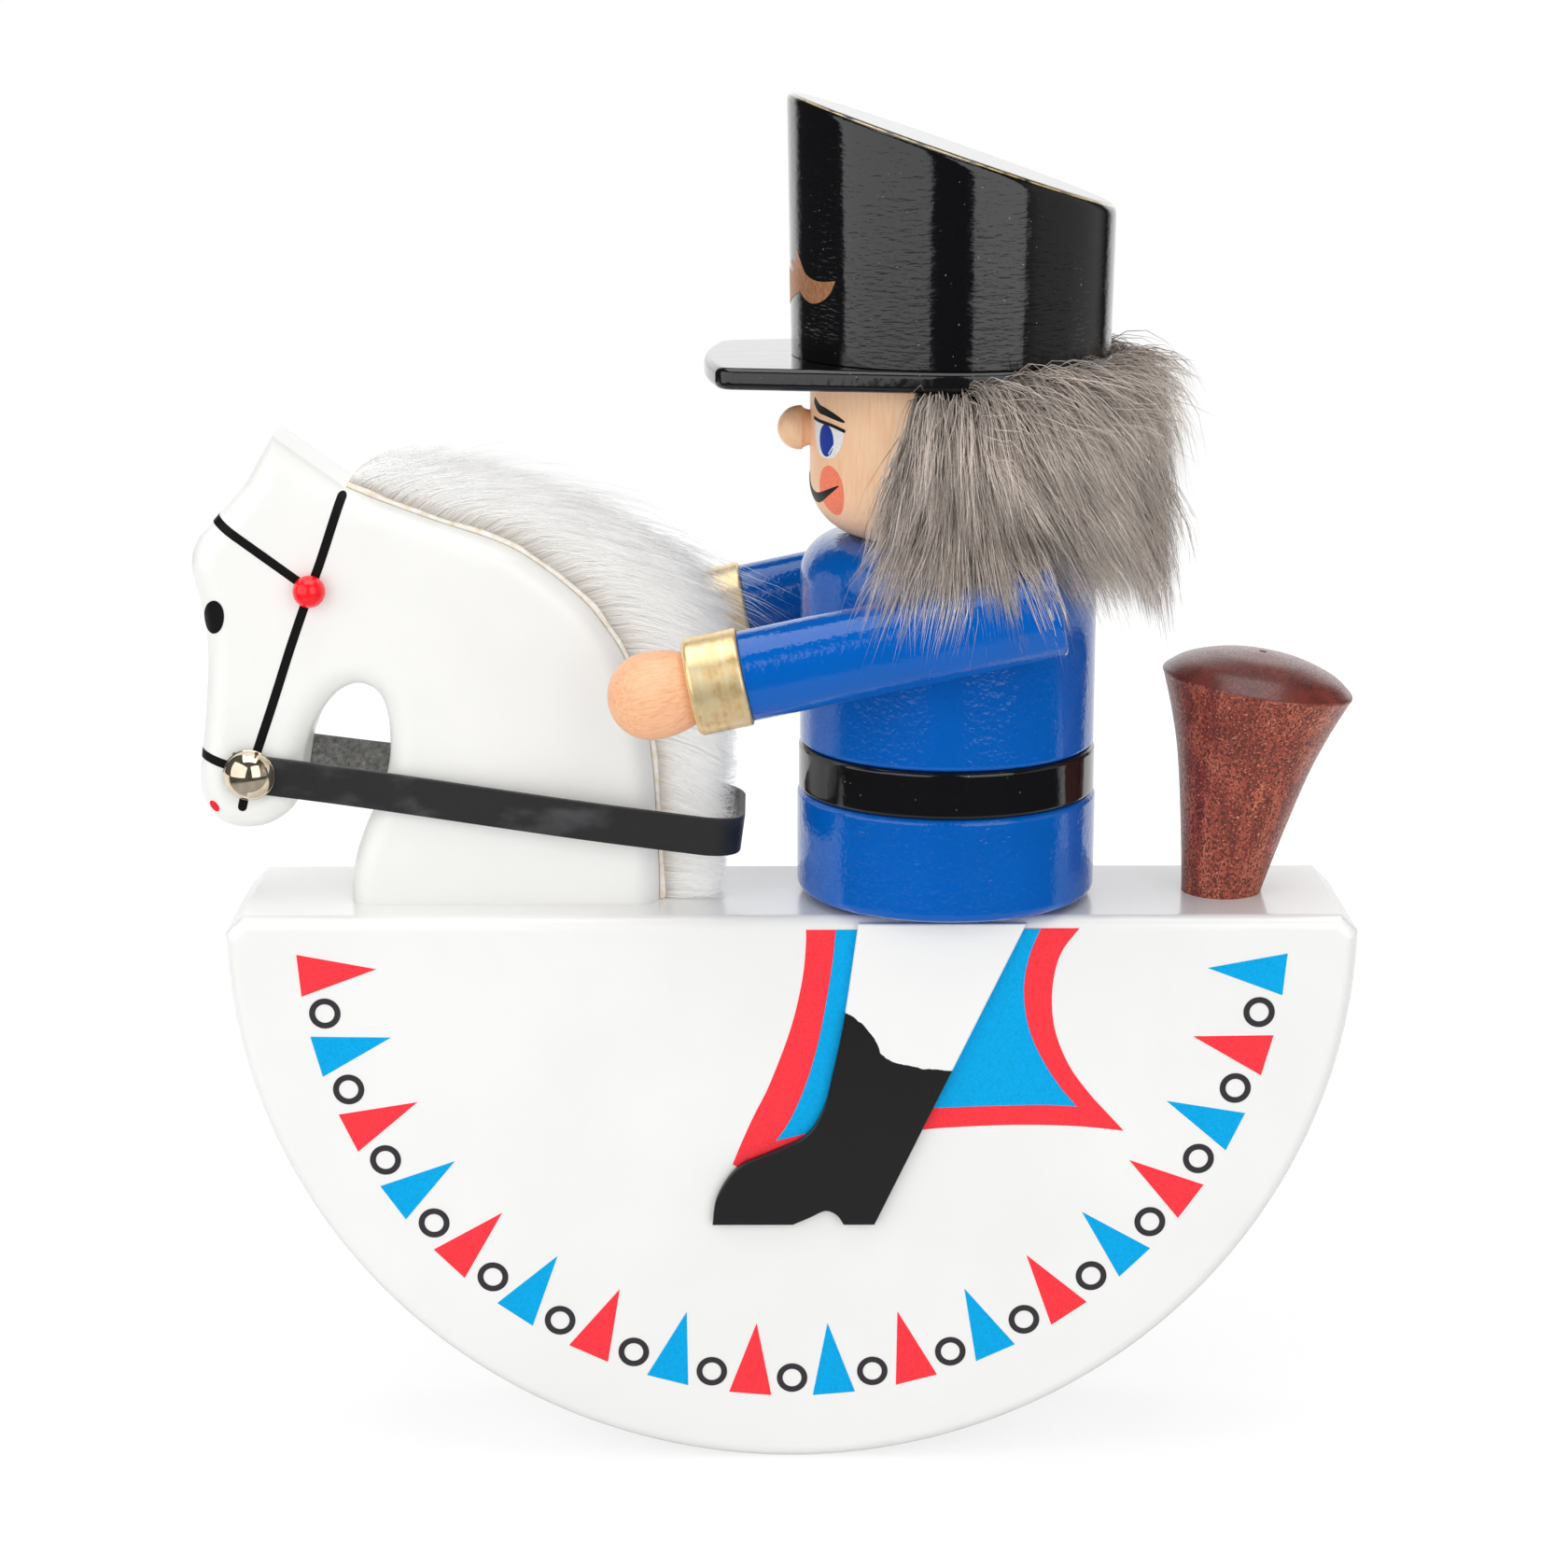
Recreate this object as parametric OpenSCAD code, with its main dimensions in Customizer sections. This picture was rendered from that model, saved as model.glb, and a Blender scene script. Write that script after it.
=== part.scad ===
// Wooden rocking horse and rider, a balancing toy that stands on a round sole.
// Frame: X runs from the horse's nose (-X) to its tail (+X), Y across the toy, +Z up.
// The origin is the lowest point of the sole, in the middle of the board's thickness.

/* [Rocker] */
// Radius of the round sole
rocker_r = 88; // [84:1:96]
// Height of the deck above the centre of the sole's circle
deck_rise = 2.5; // [0:0.5:5]
// Thickness of the rocker board
rocker_t = 33; // [28:1:38]
// Rounding of the rocker's edges
rocker_edge_r = 2.2; // [1:0.2:3]
// Leg of the 45 degree cut at each end of the deck
corner_cut = 2.6; // [1.6:0.2:4]

/* [Counterweight] */
// Diameter of the steel slug
weight_d = 24; // [18:0.5:25]
// Length of the steel slug
weight_len = 22; // [16:0.5:26]
// Angle of its bore from straight down, towards the horse
weight_angle = 18.6; // [10:0.2:26]
// Thickness of the plug that closes the bore
plug_t = 6; // [4:0.5:9]

/* [Horse] */
// Height of the ear above the deck
horse_h = 73.6; // [68:0.4:78]
// Thickness of the head board
horse_t = 18; // [15:0.5:22]
// Rounding of the head board's edges
horse_edge_r = 4; // [2:0.5:5]
// Place of the rear of the horse's foot
horse_back_x = -20.9; // [-24:0.5:-19]
// Thickness of the hide under the mane
hide_t = 1.1; // [0.6:0.1:1.5]
// Half width of the mane's fur where it stands widest
mane_half_w = 7; // [6:0.5:8]

/* [Bridle and rein] */
// Diameter of the red beads
bead_d = 5; // [4:0.25:6]
// Diameter of the domed nail heads
nail_d = 8; // [7:0.25:9]
// Height of the nails' domes
nail_dome = 3.2; // [2.4:0.2:3.6]
// Diameter of the nails' shanks
shank_d = 1.6; // [1.2:0.1:2.2]
// Length of the shanks in the wood
shank_len = 7; // [5:0.5:8]
// Width of the rein
rein_w = 6; // [4.5:0.5:7]
// Thickness of the rein
rein_t = 1; // [0.7:0.1:1.3]
// Distance from the nails to the bend at the rein's back
rein_len = 76.6; // [72:0.4:78]
// Distance between the rein's middle lines behind the neck
rein_spread = 24.6; // [23:0.4:27]
// Radius of the rein's corners at the back, at its middle line
rein_bend_r = 6; // [4:0.5:8]
// Slope of the rein, down towards the rider
rein_slope = 7.6; // [5:0.2:8]

/* [Rider's coat] */
// Place of the rider's axis
rider_x = 24.4; // [23:0.4:28]
// Radius of the coat's skirt
skirt_r = 23.5; // [22:0.25:24.5]
// Height of the skirt
skirt_h = 17.2; // [14:0.4:19]
// Radius of the coat above the belt
coat_r = 23.1; // [22:0.25:24]
// Height of the coat above the belt
coat_h = 33; // [31:0.5:36]
// Rounding of the shoulders
shoulder_r = 6.5; // [4:0.5:8]
// Radius of the belt
belt_r = 23.3; // [22:0.25:24]
// Height of the belt
belt_h = 7.4; // [5:0.4:9]
// Depth of the turned grooves on both sides of the belt
groove = 0.9; // [0.5:0.1:1.3]

/* [Rider's head] */
// Radius of the head
head_r = 21.6; // [20:0.2:22.4]
// Height of the head, chin to brim
head_h = 24.5; // [22:0.4:27]
// Rounding of the chin
chin_r = 8.5; // [6:0.5:9]
// Diameter of the nose
nose_d = 6.8; // [5.5:0.25:8]
// How far the nose stands out
nose_out = 5; // [3.6:0.2:6]
// Height of the nose above the chin
nose_up = 16.4; // [14:0.4:18]
// Angle from the front to the front edge of the hair
hair_angle = 74; // [66:1:82]
// Thickness of the hide under the hair
hair_hide_t = 1.2; // [0.8:0.1:1.5]
// How far the hair stands out from the head
hair_out = 14.6; // [12:0.4:16]
// How far the hair hangs below the chin
hair_drop = 12; // [8:0.5:13]

/* [Hat] */
// Thickness of the brim
brim_t = 3.3; // [2.5:0.1:4.5]
// Radius of the brim round the hat
brim_r = 25.2; // [25:0.1:27]
// Half width of the brim at its front corners
brim_front_w = 19.5; // [16:0.5:21]
// Distance from the rider's axis to the brim's front corners
brim_front_x = 35.6; // [33:0.4:39]
// How far the brim's front edge bows out between its corners
brim_bow = 2.6; // [1:0.2:4]
// Radius of the hat at its foot
hat_r = 24.5; // [23:0.1:24.8]
// Radius of the hat at its tall front edge
hat_top_r = 25.2; // [23.5:0.1:26]
// Height of the hat's front edge above the brim
hat_front_h = 39.7; // [35:0.4:44]
// Height of the hat's back edge above the brim
hat_back_h = 22.6; // [19:0.4:28]

/* [Arms] */
// Radius of the sleeves
sleeve_r = 6.8; // [6:0.1:7.2]
// Radius of the cuffs
cuff_r = 7.4; // [7.2:0.1:8]
// Length of the cuffs
cuff_len = 8.3; // [6:0.5:10]
// Radius of the hands
hand_r = 6.6; // [5.8:0.1:7]
// Length of the straight part between a hand's ball and its cuff
hand_neck = 5.9; // [4.8:0.1:8]
// Length from the middle of the hand to the shoulder end
arm_len = 61.8; // [58:0.4:64]
// Slope of the arms, down towards the horse
arm_angle = 12; // [9:0.5:14]
// How far the shoulder end lies behind the rider's axis
arm_back = 15; // [12:0.5:17]
// Height of the shoulder end above the belt
arm_up = 26; // [25:0.5:28]
// Depth of the hollow that seats each arm on the coat
arm_seat = 1.5; // [0.8:0.1:2.2]

/* [Tail] */
// Place of the tail on the deck
tail_x = 68.3; // [66:0.4:71]
// Radius of the tail where it leaves the deck
tail_r = 6.2; // [5:0.2:7]
// Radius of the tail's rim
tail_rim_r = 15; // [12:0.25:16]
// Length of the tail from the deck to its rim
tail_len = 33.9; // [30:0.5:38]
// Height of the dome on the tail
tail_dome = 5.2; // [3:0.2:7]
// Lean of the tail, backwards
tail_lean = 8.3; // [5:0.5:12]
// Depth of the tail in the board
tail_deep = 14; // [10:0.5:18]

/* [Legs] */
// Height of the cut-out legs, hip to sole
leg_h = 49.4; // [44:0.2:54]
// Thickness of the cut-out legs
leg_t = 1.5; // [1:0.1:3]
// Gap between the deck's level and the top of the legs
leg_drop = 0.6; // [0.4:0.1:1.5]

/* [Dowels] */
// Diameter of the dowel between rocker and coat
coat_dowel_d = 10; // [8:0.5:12]
// Diameter of the dowels in neck and hat
head_dowel_d = 8; // [6:0.5:10]
// Diameter of the two dowels under the horse
horse_dowel_d = 6; // [5:0.5:7]
// Diameter of the dowels in the arms
arm_dowel_d = 5; // [4:0.25:6]
// Radial room for glue round every dowel and peg
glue_gap = 0.05; // [0.02:0.01:0.1]

/* [Hidden] */
$fn = 96;
eps = 0.01;
far = 300;

white = "white";
black = [0.05, 0.05, 0.06];
coat_blue = [0.0, 0.27, 0.68];
skin = [0.93, 0.68, 0.5];
gold = [0.76, 0.6, 0.3];
raw_wood = [0.82, 0.68, 0.48];

// Heights of the levels, from the floor up
deck_z = rocker_r + deck_rise;
belt_z = deck_z + skirt_h;
coat_z = belt_z + belt_h;
neck_z = coat_z + coat_h;
brim_z = neck_z + head_h;
hat_z = brim_z + brim_t;

// Seats for dowels and pegs
coat_dowel_deep = 20;
coat_dowel_up = 14;
head_dowel_deep = 13;
hat_dowel_up = 16;
horse_dowel_deep = 16;
horse_dowel_up = 13;
horse_dowel_inset = 11;
end_gap = 0.5;
spigot_r = 9;
spigot_up = 9;
nose_peg_d = 4;
nose_peg_len = 8;
hand_peg_d = 5;
hand_peg_in = 8;
arm_dowel_in = 8;
run_gap = 0.05;

// A smooth curve through points, with "steps" short lines for each pair of points
function curve_point(a, b, c, d, t) =
  0.5 * (2 * b + (c - a) * t + (2 * a - 5 * b + 4 * c - d) * t * t + (3 * b - a - 3 * c + d) * t * t * t);
function smooth(p, steps) = let (last = len(p) - 1) [
  for (i = [0 : last - 1], k = [0 : steps - 1])
    curve_point(p[max(i - 1, 0)], p[i], p[i + 1], p[min(i + 2, last)], k / steps),
  p[last]
];
function curve_at(p, t) =
  let (last = len(p) - 1, i = min(floor(t * last), last - 1))
  curve_point(p[max(i - 1, 0)], p[i], p[i + 1], p[min(i + 2, last)], t * last - i);
function reversed(p) = [for (i = [len(p) - 1 : -1 : 0]) p[i]];
function mirrored(p) = [for (q = p) [q[0], -q[1]]];
function unit(v) = v / norm(v);
function arc(centre, r, from, to, steps) = [
  for (i = [0 : steps]) let (a = from + (to - from) * i / steps) centre + r * [cos(a), sin(a)]
];

// Each point of a closed outline, moved inwards by d with mitred corners
function edge_normal(p, i) = let (e = unit(p[(i + 1) % len(p)] - p[i])) [-e[1], e[0]];
function inset(p, d) = [
  for (i = [0 : len(p) - 1])
    let (a = edge_normal(p, (i + len(p) - 1) % len(p)), b = edge_normal(p, i))
    p[i] + d * (a + b) / (1 + a * b)
];

// A board cut to an outline in X and Z, its edges rounded, standing across Y.
// Its flat faces are fans of triangles. A fan is its centre and the two places on the outline
// between which it runs, counted from the first point.
edge_steps = 4;
module rounded_board(outline, t, r, fans) {
  n = len(outline);
  sweep = [
    for (k = [0 : edge_steps]) let (a = 90 * k / edge_steps) [r * (1 - cos(a)) - t / 2, r * (1 - sin(a))]
  ];
  rings = concat(sweep, [for (s = reversed(sweep)) [-s[0], s[1]]]);
  points = [for (s = rings, p = inset(outline, s[1])) [p[0], s[0], p[1]]];
  sides = [
    for (k = [0 : len(rings) - 2], i = [0 : n - 1])
      let (j = (i + 1) % n)
      each [[k * n + i, (k + 1) * n + j, (k + 1) * n + i], [k * n + i, k * n + j, (k + 1) * n + j]]
  ];
  centres = [for (y = [-t / 2, t / 2], f = fans) [f[0][0], y, f[0][1]]];
  far_ring = len(points) - n;
  flats = [
    for (k = [0 : len(fans) - 1])
      let (first = fans[k][1], run = (fans[k][2] - first + n) % n, hub = len(points) + k)
      for (i = [0 : run])
        let (a = (first + i) % n, b = (first + (i + 1) % (run + 1)) % n)
        each [[b, a, hub], [far_ring + a, far_ring + b, hub + len(fans)]]
  ];
  polyhedron(concat(points, centres), concat(sides, flats));
}

// Rocker: a half disc with rounded rims, a flat deck and cut corners
edge_arc_steps = 5;

// Space below a level plane whose edges are rounded along X
module rounded_below() {
  edge_at = rocker_t / 2 - rocker_edge_r;
  rotate([90, 0, 90])
    linear_extrude(height = far, center = true)
      polygon(concat(
        arc([edge_at, -rocker_edge_r], rocker_edge_r, 0, 90, edge_arc_steps),
        arc([-edge_at, -rocker_edge_r], rocker_edge_r, 90, 180, edge_arc_steps),
        [[-rocker_t / 2, -far], [rocker_t / 2, -far]]
      ));
}

module round_disc() {
  rim_at = rocker_r - rocker_edge_r;
  translate([0, 0, rocker_r])
    rotate([90, 0, 0])
      rotate_extrude($fn = 180)
        polygon(concat(
          [[0, -rocker_t / 2]],
          arc([rim_at, rocker_edge_r - rocker_t / 2], rocker_edge_r, -90, 0, edge_arc_steps),
          arc([rim_at, rocker_t / 2 - rocker_edge_r], rocker_edge_r, 0, 90, edge_arc_steps),
          [[0, rocker_t / 2]]
        ));
}

// Half the deck's length, where the sole's circle meets it
deck_half = sqrt(rocker_r * rocker_r - deck_rise * deck_rise);

module rocker_blank() {
  difference() {
    intersection() {
      round_disc();
      translate([0, 0, deck_z]) rounded_below();
    }
    for (side = [-1, 1])
      translate([side * (deck_half - corner_cut), 0, deck_z])
        rotate([0, side * 45, 0]) translate([-far / 2, -far / 2, 0]) cube([far, far, far]);
  }
}

module weight_place() {
  translate([0, 0, rocker_r]) rotate([0, weight_angle, 0]) translate([0, 0, -rocker_r]) children();
}

weight_bore_len = plug_t + weight_len + end_gap;
weight_bore_d = weight_d + 2 * glue_gap;

module rocker() color(white)
  difference() {
    rocker_blank();
    weight_place() translate([0, 0, -plug_t]) cylinder(d = weight_bore_d, h = plug_t + weight_bore_len);
    translate([rider_x, 0, deck_z - coat_dowel_deep])
      cylinder(d = coat_dowel_d + 2 * glue_gap, h = coat_dowel_deep + eps);
    for (x = horse_dowel_xs)
      translate([x, 0, deck_z - horse_dowel_deep])
        cylinder(d = horse_dowel_d + 2 * glue_gap, h = horse_dowel_deep + eps);
    tail_place() translate([0, 0, -tail_deep - end_gap])
      cylinder(r = tail_r + glue_gap, h = tail_deep + tail_r);
  }

module counterweight() color("silver")
  weight_place() translate([0, 0, plug_t]) cylinder(d = weight_d, h = weight_len);

module weight_plug() color(raw_wood)
  intersection() {
    weight_place() translate([0, 0, -plug_t]) cylinder(d = weight_d, h = 2 * plug_t);
    round_disc();
  }

// Legs: thin cut-outs, straight at the back, curved from shin to toe.
// Places are in millimetres at a leg height of 49.4, from the leg's top and the rider's axis.
leg_k = leg_h / 49.4;
leg_front = smooth([
  [-14.2, 0], [-16.3, -15.2], [-18.1, -24.3], [-19.6, -30.2], [-22.4, -34.6], [-27.8, -37.3],
  [-33, -39.8], [-36.2, -44.6], [-37.0, -49.4]
], 4);
heel_arch = smooth([[-24.3, -49.4], [-21.6, -48.2], [-19.2, -47.1], [-17.4, -47.8], [-16.3, -49.4]], 3);
leg_outline = leg_k * concat(leg_front, heel_arch, [[-11.4, -49.4], [11.8, 0]]);

module leg(side) color(white)
  translate([rider_x, side * (rocker_t / 2 + leg_t / 2), deck_z - leg_drop])
    rotate([90, 0, 0])
      linear_extrude(height = leg_t, center = true) polygon(leg_outline);

module leg_left() leg(-1);
module leg_right() leg(1);

// Horse: outline of the head board, in millimetres at an ear height of 73.6,
// from the foot's rear corner and the deck. Heights below the deck are cut off.
horse_k = horse_h / 73.6;
curve_steps = 3;
function on_horse(p) = [horse_back_x + p[0] * horse_k, deck_z + p[1] * horse_k];
face_line = smooth([
  [-62.7, 66.4], [-67.6, 60.8], [-70.6, 57.4], [-71.6, 53.2], [-70.2, 47], [-69.6, 40], [-70.3, 30.5],
  [-71.5, 20.5], [-70.9, 16.2], [-68.5, 13], [-64.6, 11.9], [-60.3, 12.8], [-56.6, 15.9], [-55.7, 20.6],
  [-54.7, 25.4], [-52.6, 30], [-49.6, 33.6], [-46.4, 34.9], [-43.5, 33.6], [-42.1, 30.2], [-41.8, 24],
  [-43.1, 18.2], [-45.7, 12.6], [-47.5, 7.6], [-48.3, 3.2], [-48.4, 0]
], curve_steps);
crest_line = smooth([
  [0, 0], [0, 5], [-0.3, 12], [-0.7, 20], [-1.5, 26.7], [-3.1, 33.8], [-5.5, 39.7], [-7.9, 43.5],
  [-10.6, 47.1], [-14.6, 50.8], [-19.1, 54.2], [-22.4, 56.2], [-26.5, 57.9], [-32.9, 60],
  [-38.5, 62], [-43.2, 63.8], [-47.5, 65.6]
], curve_steps);
below_deck = 6;
horse_outline = [
  for (p = concat([[-58.5, 73.6]], face_line, [[-48.4, -below_deck], [0, -below_deck]], crest_line))
    on_horse(p)
];
// The head's and the neck's fans meet on a line from the top of the throat to the crest
throat_top = 1 + 17 * curve_steps;
crest_split = 3 + len(face_line) + 14 * curve_steps;
horse_fans = [
  [on_horse([-60, 42]), crest_split, throat_top],
  [on_horse([-24, 38]), throat_top, crest_split]
];
horse_foot_len = 48.4 * horse_k;
horse_dowel_xs = [
  horse_back_x - horse_dowel_inset,
  horse_back_x - horse_foot_len + horse_dowel_inset
];

module nail_bores() {
  for (side = [-1, 1])
    translate([nail_at[0], side * horse_t / 2, nail_at[1]])
      rotate([90, 0, 0])
        cylinder(d = shank_d + 2 * glue_gap, h = 2 * (shank_len + end_gap), center = true, $fn = 32);
}

module horse_head() color(white)
  difference() {
    rounded_board(horse_outline, horse_t, horse_edge_r, horse_fans);
    translate([-far, -far, deck_z - far]) cube([2 * far, 2 * far, far]);
    for (x = horse_dowel_xs)
      translate([x, 0, deck_z - eps])
        cylinder(d = horse_dowel_d + 2 * glue_gap, h = horse_dowel_up + end_gap + eps, $fn = 48);
    nail_bores();
  }

module horse_dowels() color(raw_wood)
  for (x = horse_dowel_xs)
    translate([x, 0, deck_z - horse_dowel_deep + end_gap])
      cylinder(d = horse_dowel_d, h = horse_dowel_deep - end_gap + horse_dowel_up, $fn = 48);

// Mane: a strip of hide along the crest, and the fur that stands on it and leans back
function offset_curve(p, d) = let (last = len(p) - 1) [
  for (i = [0 : last]) let (e = unit(p[min(i + 1, last)] - p[max(i - 1, 0)])) p[i] + d * [e[1], -e[0]]
];
crest = [for (p = crest_line) on_horse(p)];
hide_back = offset_curve(crest, hide_t);
hide_overhang = 0.5;
hide_half_w = horse_t / 2 - horse_edge_r + hide_overhang;

module mane_hide() color([0.9, 0.82, 0.66])
  rotate([90, 0, 0])
    linear_extrude(height = 2 * hide_half_w, center = true) polygon(concat(crest, reversed(hide_back)));

// The fur's tips, evenly spaced along the crest from foot to poll, measured as the outline is.
// Inside the rein's bend it stays short, so that the rein can swing.
fur_tips = [
  for (p = [
    [9.6, 0.8], [10.3, 5.3], [11.0, 11.3], [11.2, 18.4], [11.3, 26.2], [11.9, 35],
    [12.9, 44.7], [10.6, 53], [1.6, 58.6], [-8.5, 64], [-21, 68.6], [-41, 69.6]
  ]) on_horse(p)
];
fur_gap = 0.05;
fur_base = offset_curve(hide_back, fur_gap);
ring_steps = 8;
function fur_ring(i) =
  let (tip = curve_at(fur_tips, (i - 1) / (len(fur_base) - 3)))
  [
    for (k = [0 : ring_steps])
      let (a = 180 * k / ring_steps, p = fur_base[i] + sin(a) * (tip - fur_base[i]))
      [p[0], -mane_half_w * cos(a) * (0.62 + 0.38 * sin(a)), p[1]]
  ];

module mane_fur() color([0.96, 0.96, 0.97]) {
  rings = [for (i = [1 : len(fur_base) - 2]) fur_ring(i)];
  n = ring_steps + 1;
  sides = [
    for (k = [0 : len(rings) - 2], i = [0 : n - 1])
      let (j = (i + 1) % n)
      each [[k * n + i, (k + 1) * n + j, k * n + j], [k * n + i, (k + 1) * n + i, (k + 1) * n + j]]
  ];
  first_end = [for (i = [0 : n - 1]) i];
  last_end = [for (i = [n - 1 : -1 : 0]) (len(rings) - 1) * n + i];
  polyhedron([for (r = rings) each r], concat(sides, [first_end, last_end]));
}

// Places of the nails and beads on the cheeks
nail_at = on_horse([-63.2, 21.4]);
bead_at = on_horse([-53, 50.2]);

// Red beads: balls with a flat, glued on the cheeks
bead_sunk = 0.45;

module bridle_beads() color("red")
  for (side = [-1, 1])
    difference() {
      translate([bead_at[0], side * (horse_t / 2 + bead_d * (0.5 - bead_sunk / 2)), bead_at[1]])
        rotate([90, 0, 0]) sphere(d = bead_d, $fn = 48);
      translate([bead_at[0], 0, bead_at[1]]) cube([2 * bead_d, horse_t, 2 * bead_d], center = true);
    }

// Domed nails: the rein turns on their shanks
rein_room = 0.1;
nail_seat = horse_t / 2 + rein_t + 2 * rein_room;
dome_r = (nail_d * nail_d / 4 + nail_dome * nail_dome) / (2 * nail_dome);

module cheek_nail() {
  intersection() {
    translate([0, 0, nail_seat + nail_dome - dome_r]) sphere(r = dome_r, $fn = 64);
    translate([0, 0, nail_seat]) cylinder(d = 2 * nail_d, h = nail_dome + eps);
  }
  translate([0, 0, horse_t / 2 - shank_len])
    cylinder(d = shank_d, h = nail_seat - horse_t / 2 + shank_len + eps, $fn = 32);
}

module cheek_nails() color("gold")
  for (side = [-1, 1])
    translate([nail_at[0], 0, nail_at[1]]) rotate([-90 * side, 0, 0]) cheek_nail();

// Rein: one strap round the back of the neck, its ends on the two nails
rein_y = horse_t / 2 + rein_room + rein_t / 2;
rein_end = 2.9;
rein_straight = 9;
rein_flare = 50;
rein_flare_steps = 16;

module rein_plan() {
  flare = [
    for (k = [0 : rein_flare_steps])
      let (t = k / rein_flare_steps)
      [rein_straight + t * rein_flare, rein_y + (rein_spread / 2 - rein_y) * t * t * (3 - 2 * t)]
  ];
  side = concat([[-rein_end, rein_y]], flare, [[rein_len - rein_bend_r, rein_spread / 2]]);
  bend_at = [rein_len - rein_bend_r, rein_spread / 2 - rein_bend_r];
  outer = concat(offset_curve(side, -rein_t / 2), arc(bend_at, rein_bend_r + rein_t / 2, 80, 0, 8));
  inner = concat(offset_curve(side, rein_t / 2), arc(bend_at, rein_bend_r - rein_t / 2, 80, 0, 8));
  polygon(concat(outer, reversed(mirrored(outer)), mirrored(inner), reversed(inner)));
}

module rein() color(black)
  translate([nail_at[0], 0, nail_at[1]])
    difference() {
      rotate([0, rein_slope, 0]) linear_extrude(height = rein_w, center = true) rein_plan();
      rotate([90, 0, 0])
        cylinder(d = shank_d + 2 * run_gap, h = 2 * rein_spread, center = true, $fn = 32);
    }

// Coat: the skirt stands on the deck, and its spigot holds the belt and the upper coat
skirt_under_r = 18.4;
skirt_under_h = 1.1;
skirt_edge = 1.3;

module coat_skirt() color(coat_blue)
  translate([rider_x, 0, deck_z])
    difference() {
      rotate_extrude() polygon(concat(
        [[0, 0], [skirt_under_r, 0], [skirt_r - skirt_edge, skirt_under_h]],
        arc([skirt_r - skirt_edge, skirt_under_h + skirt_edge], skirt_edge, -60, 0, 4),
        arc([skirt_r - groove, skirt_h - groove], groove, 0, 90, 5),
        [[spigot_r, skirt_h], [spigot_r, skirt_h + belt_h + spigot_up], [0, skirt_h + belt_h + spigot_up]]
      ));
      translate([0, 0, -eps])
        cylinder(d = coat_dowel_d + 2 * glue_gap, h = coat_dowel_up + end_gap + eps);
    }

module belt() color(black)
  translate([rider_x, 0, belt_z])
    rotate_extrude() polygon(concat(
      [[spigot_r + glue_gap, 0]],
      arc([belt_r - groove, groove], groove, -90, 0, 5),
      arc([belt_r - groove, belt_h - groove], groove, 0, 90, 5),
      [[spigot_r + glue_gap, belt_h]]
    ));

module coat_body() color(coat_blue)
  difference() {
    translate([rider_x, 0, coat_z])
      rotate_extrude() polygon(concat(
        [[spigot_r + glue_gap, 0]],
        arc([coat_r - groove, groove], groove, -90, 0, 5),
        arc([coat_r - shoulder_r, coat_h - shoulder_r], shoulder_r, 0, 90, 12),
        [[0, coat_h], [0, spigot_up + end_gap], [spigot_r + glue_gap, spigot_up + end_gap]]
      ));
    translate([rider_x, 0, neck_z - head_dowel_deep])
      cylinder(d = head_dowel_d + 2 * glue_gap, h = head_dowel_deep + eps);
    arm_dowel_bores();
  }

module coat_dowel() color(raw_wood)
  translate([rider_x, 0, deck_z - coat_dowel_deep + end_gap])
    cylinder(d = coat_dowel_d, h = coat_dowel_deep - end_gap + coat_dowel_up);

module neck_dowel() color(raw_wood)
  translate([rider_x, 0, neck_z - head_dowel_deep + end_gap])
    cylinder(d = head_dowel_d, h = 2 * (head_dowel_deep - end_gap));

// Head: a short round block with a rounded chin
dowel_wall = 3;
hat_dowel_in = head_h - head_dowel_deep - dowel_wall;

module head() color(skin)
  difference() {
    translate([rider_x, 0, neck_z])
      rotate_extrude() polygon(concat(
        [[0, 0]],
        arc([head_r - chin_r, chin_r], chin_r, -90, 0, 12),
        [[head_r, head_h], [0, head_h]]
      ));
    translate([rider_x, 0, neck_z - eps])
      cylinder(d = head_dowel_d + 2 * glue_gap, h = head_dowel_deep + eps);
    translate([rider_x, 0, brim_z - hat_dowel_in])
      cylinder(d = head_dowel_d + 2 * glue_gap, h = hat_dowel_in + eps);
    nose_place() translate([0, 0, -nose_peg_len - end_gap])
      cylinder(d = nose_peg_d + 2 * glue_gap, h = nose_peg_len + nose_d, $fn = 48);
  }

// The nose's frame: its Z axis points forwards from the face
module nose_place() {
  translate([rider_x - head_r, 0, neck_z + nose_up]) rotate([0, -90, 0]) children();
}

module nose() color(skin)
  difference() {
    nose_place() {
      rotate_extrude($fn = 64) polygon(concat(
        [[0, -0.6], [nose_d / 2 - 0.3, -0.6], [nose_d / 2 - 0.2, nose_out - nose_d / 2]],
        arc([0, nose_out - nose_d / 2], nose_d / 2, 0, 90, 10)
      ));
      translate([0, 0, -nose_peg_len]) cylinder(d = nose_peg_d, h = nose_peg_len, $fn = 48);
    }
    difference() {
      translate([rider_x, 0, neck_z]) cylinder(r = head_r, h = head_h);
      nose_place() translate([0, 0, -nose_peg_len - eps])
        cylinder(d = nose_peg_d, h = nose_peg_len + nose_d, $fn = 48);
    }
  }

// Hair: a band of hide round the back of the head, and the fur that hangs from it
hair_gap = 0.05;
hide_r = head_r + hair_gap + hair_hide_t;
hair_low = chin_r * 0.5;

module hair_sector() {
  translate([rider_x, 0, neck_z])
    rotate([0, 0, 180 + hair_angle])
      rotate_extrude(angle = 360 - 2 * hair_angle) children();
}

module hair_hide() color([0.55, 0.52, 0.48])
  hair_sector()
    translate([head_r + hair_gap, hair_low]) square([hair_hide_t, head_h - hair_low - hair_gap]);

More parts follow.
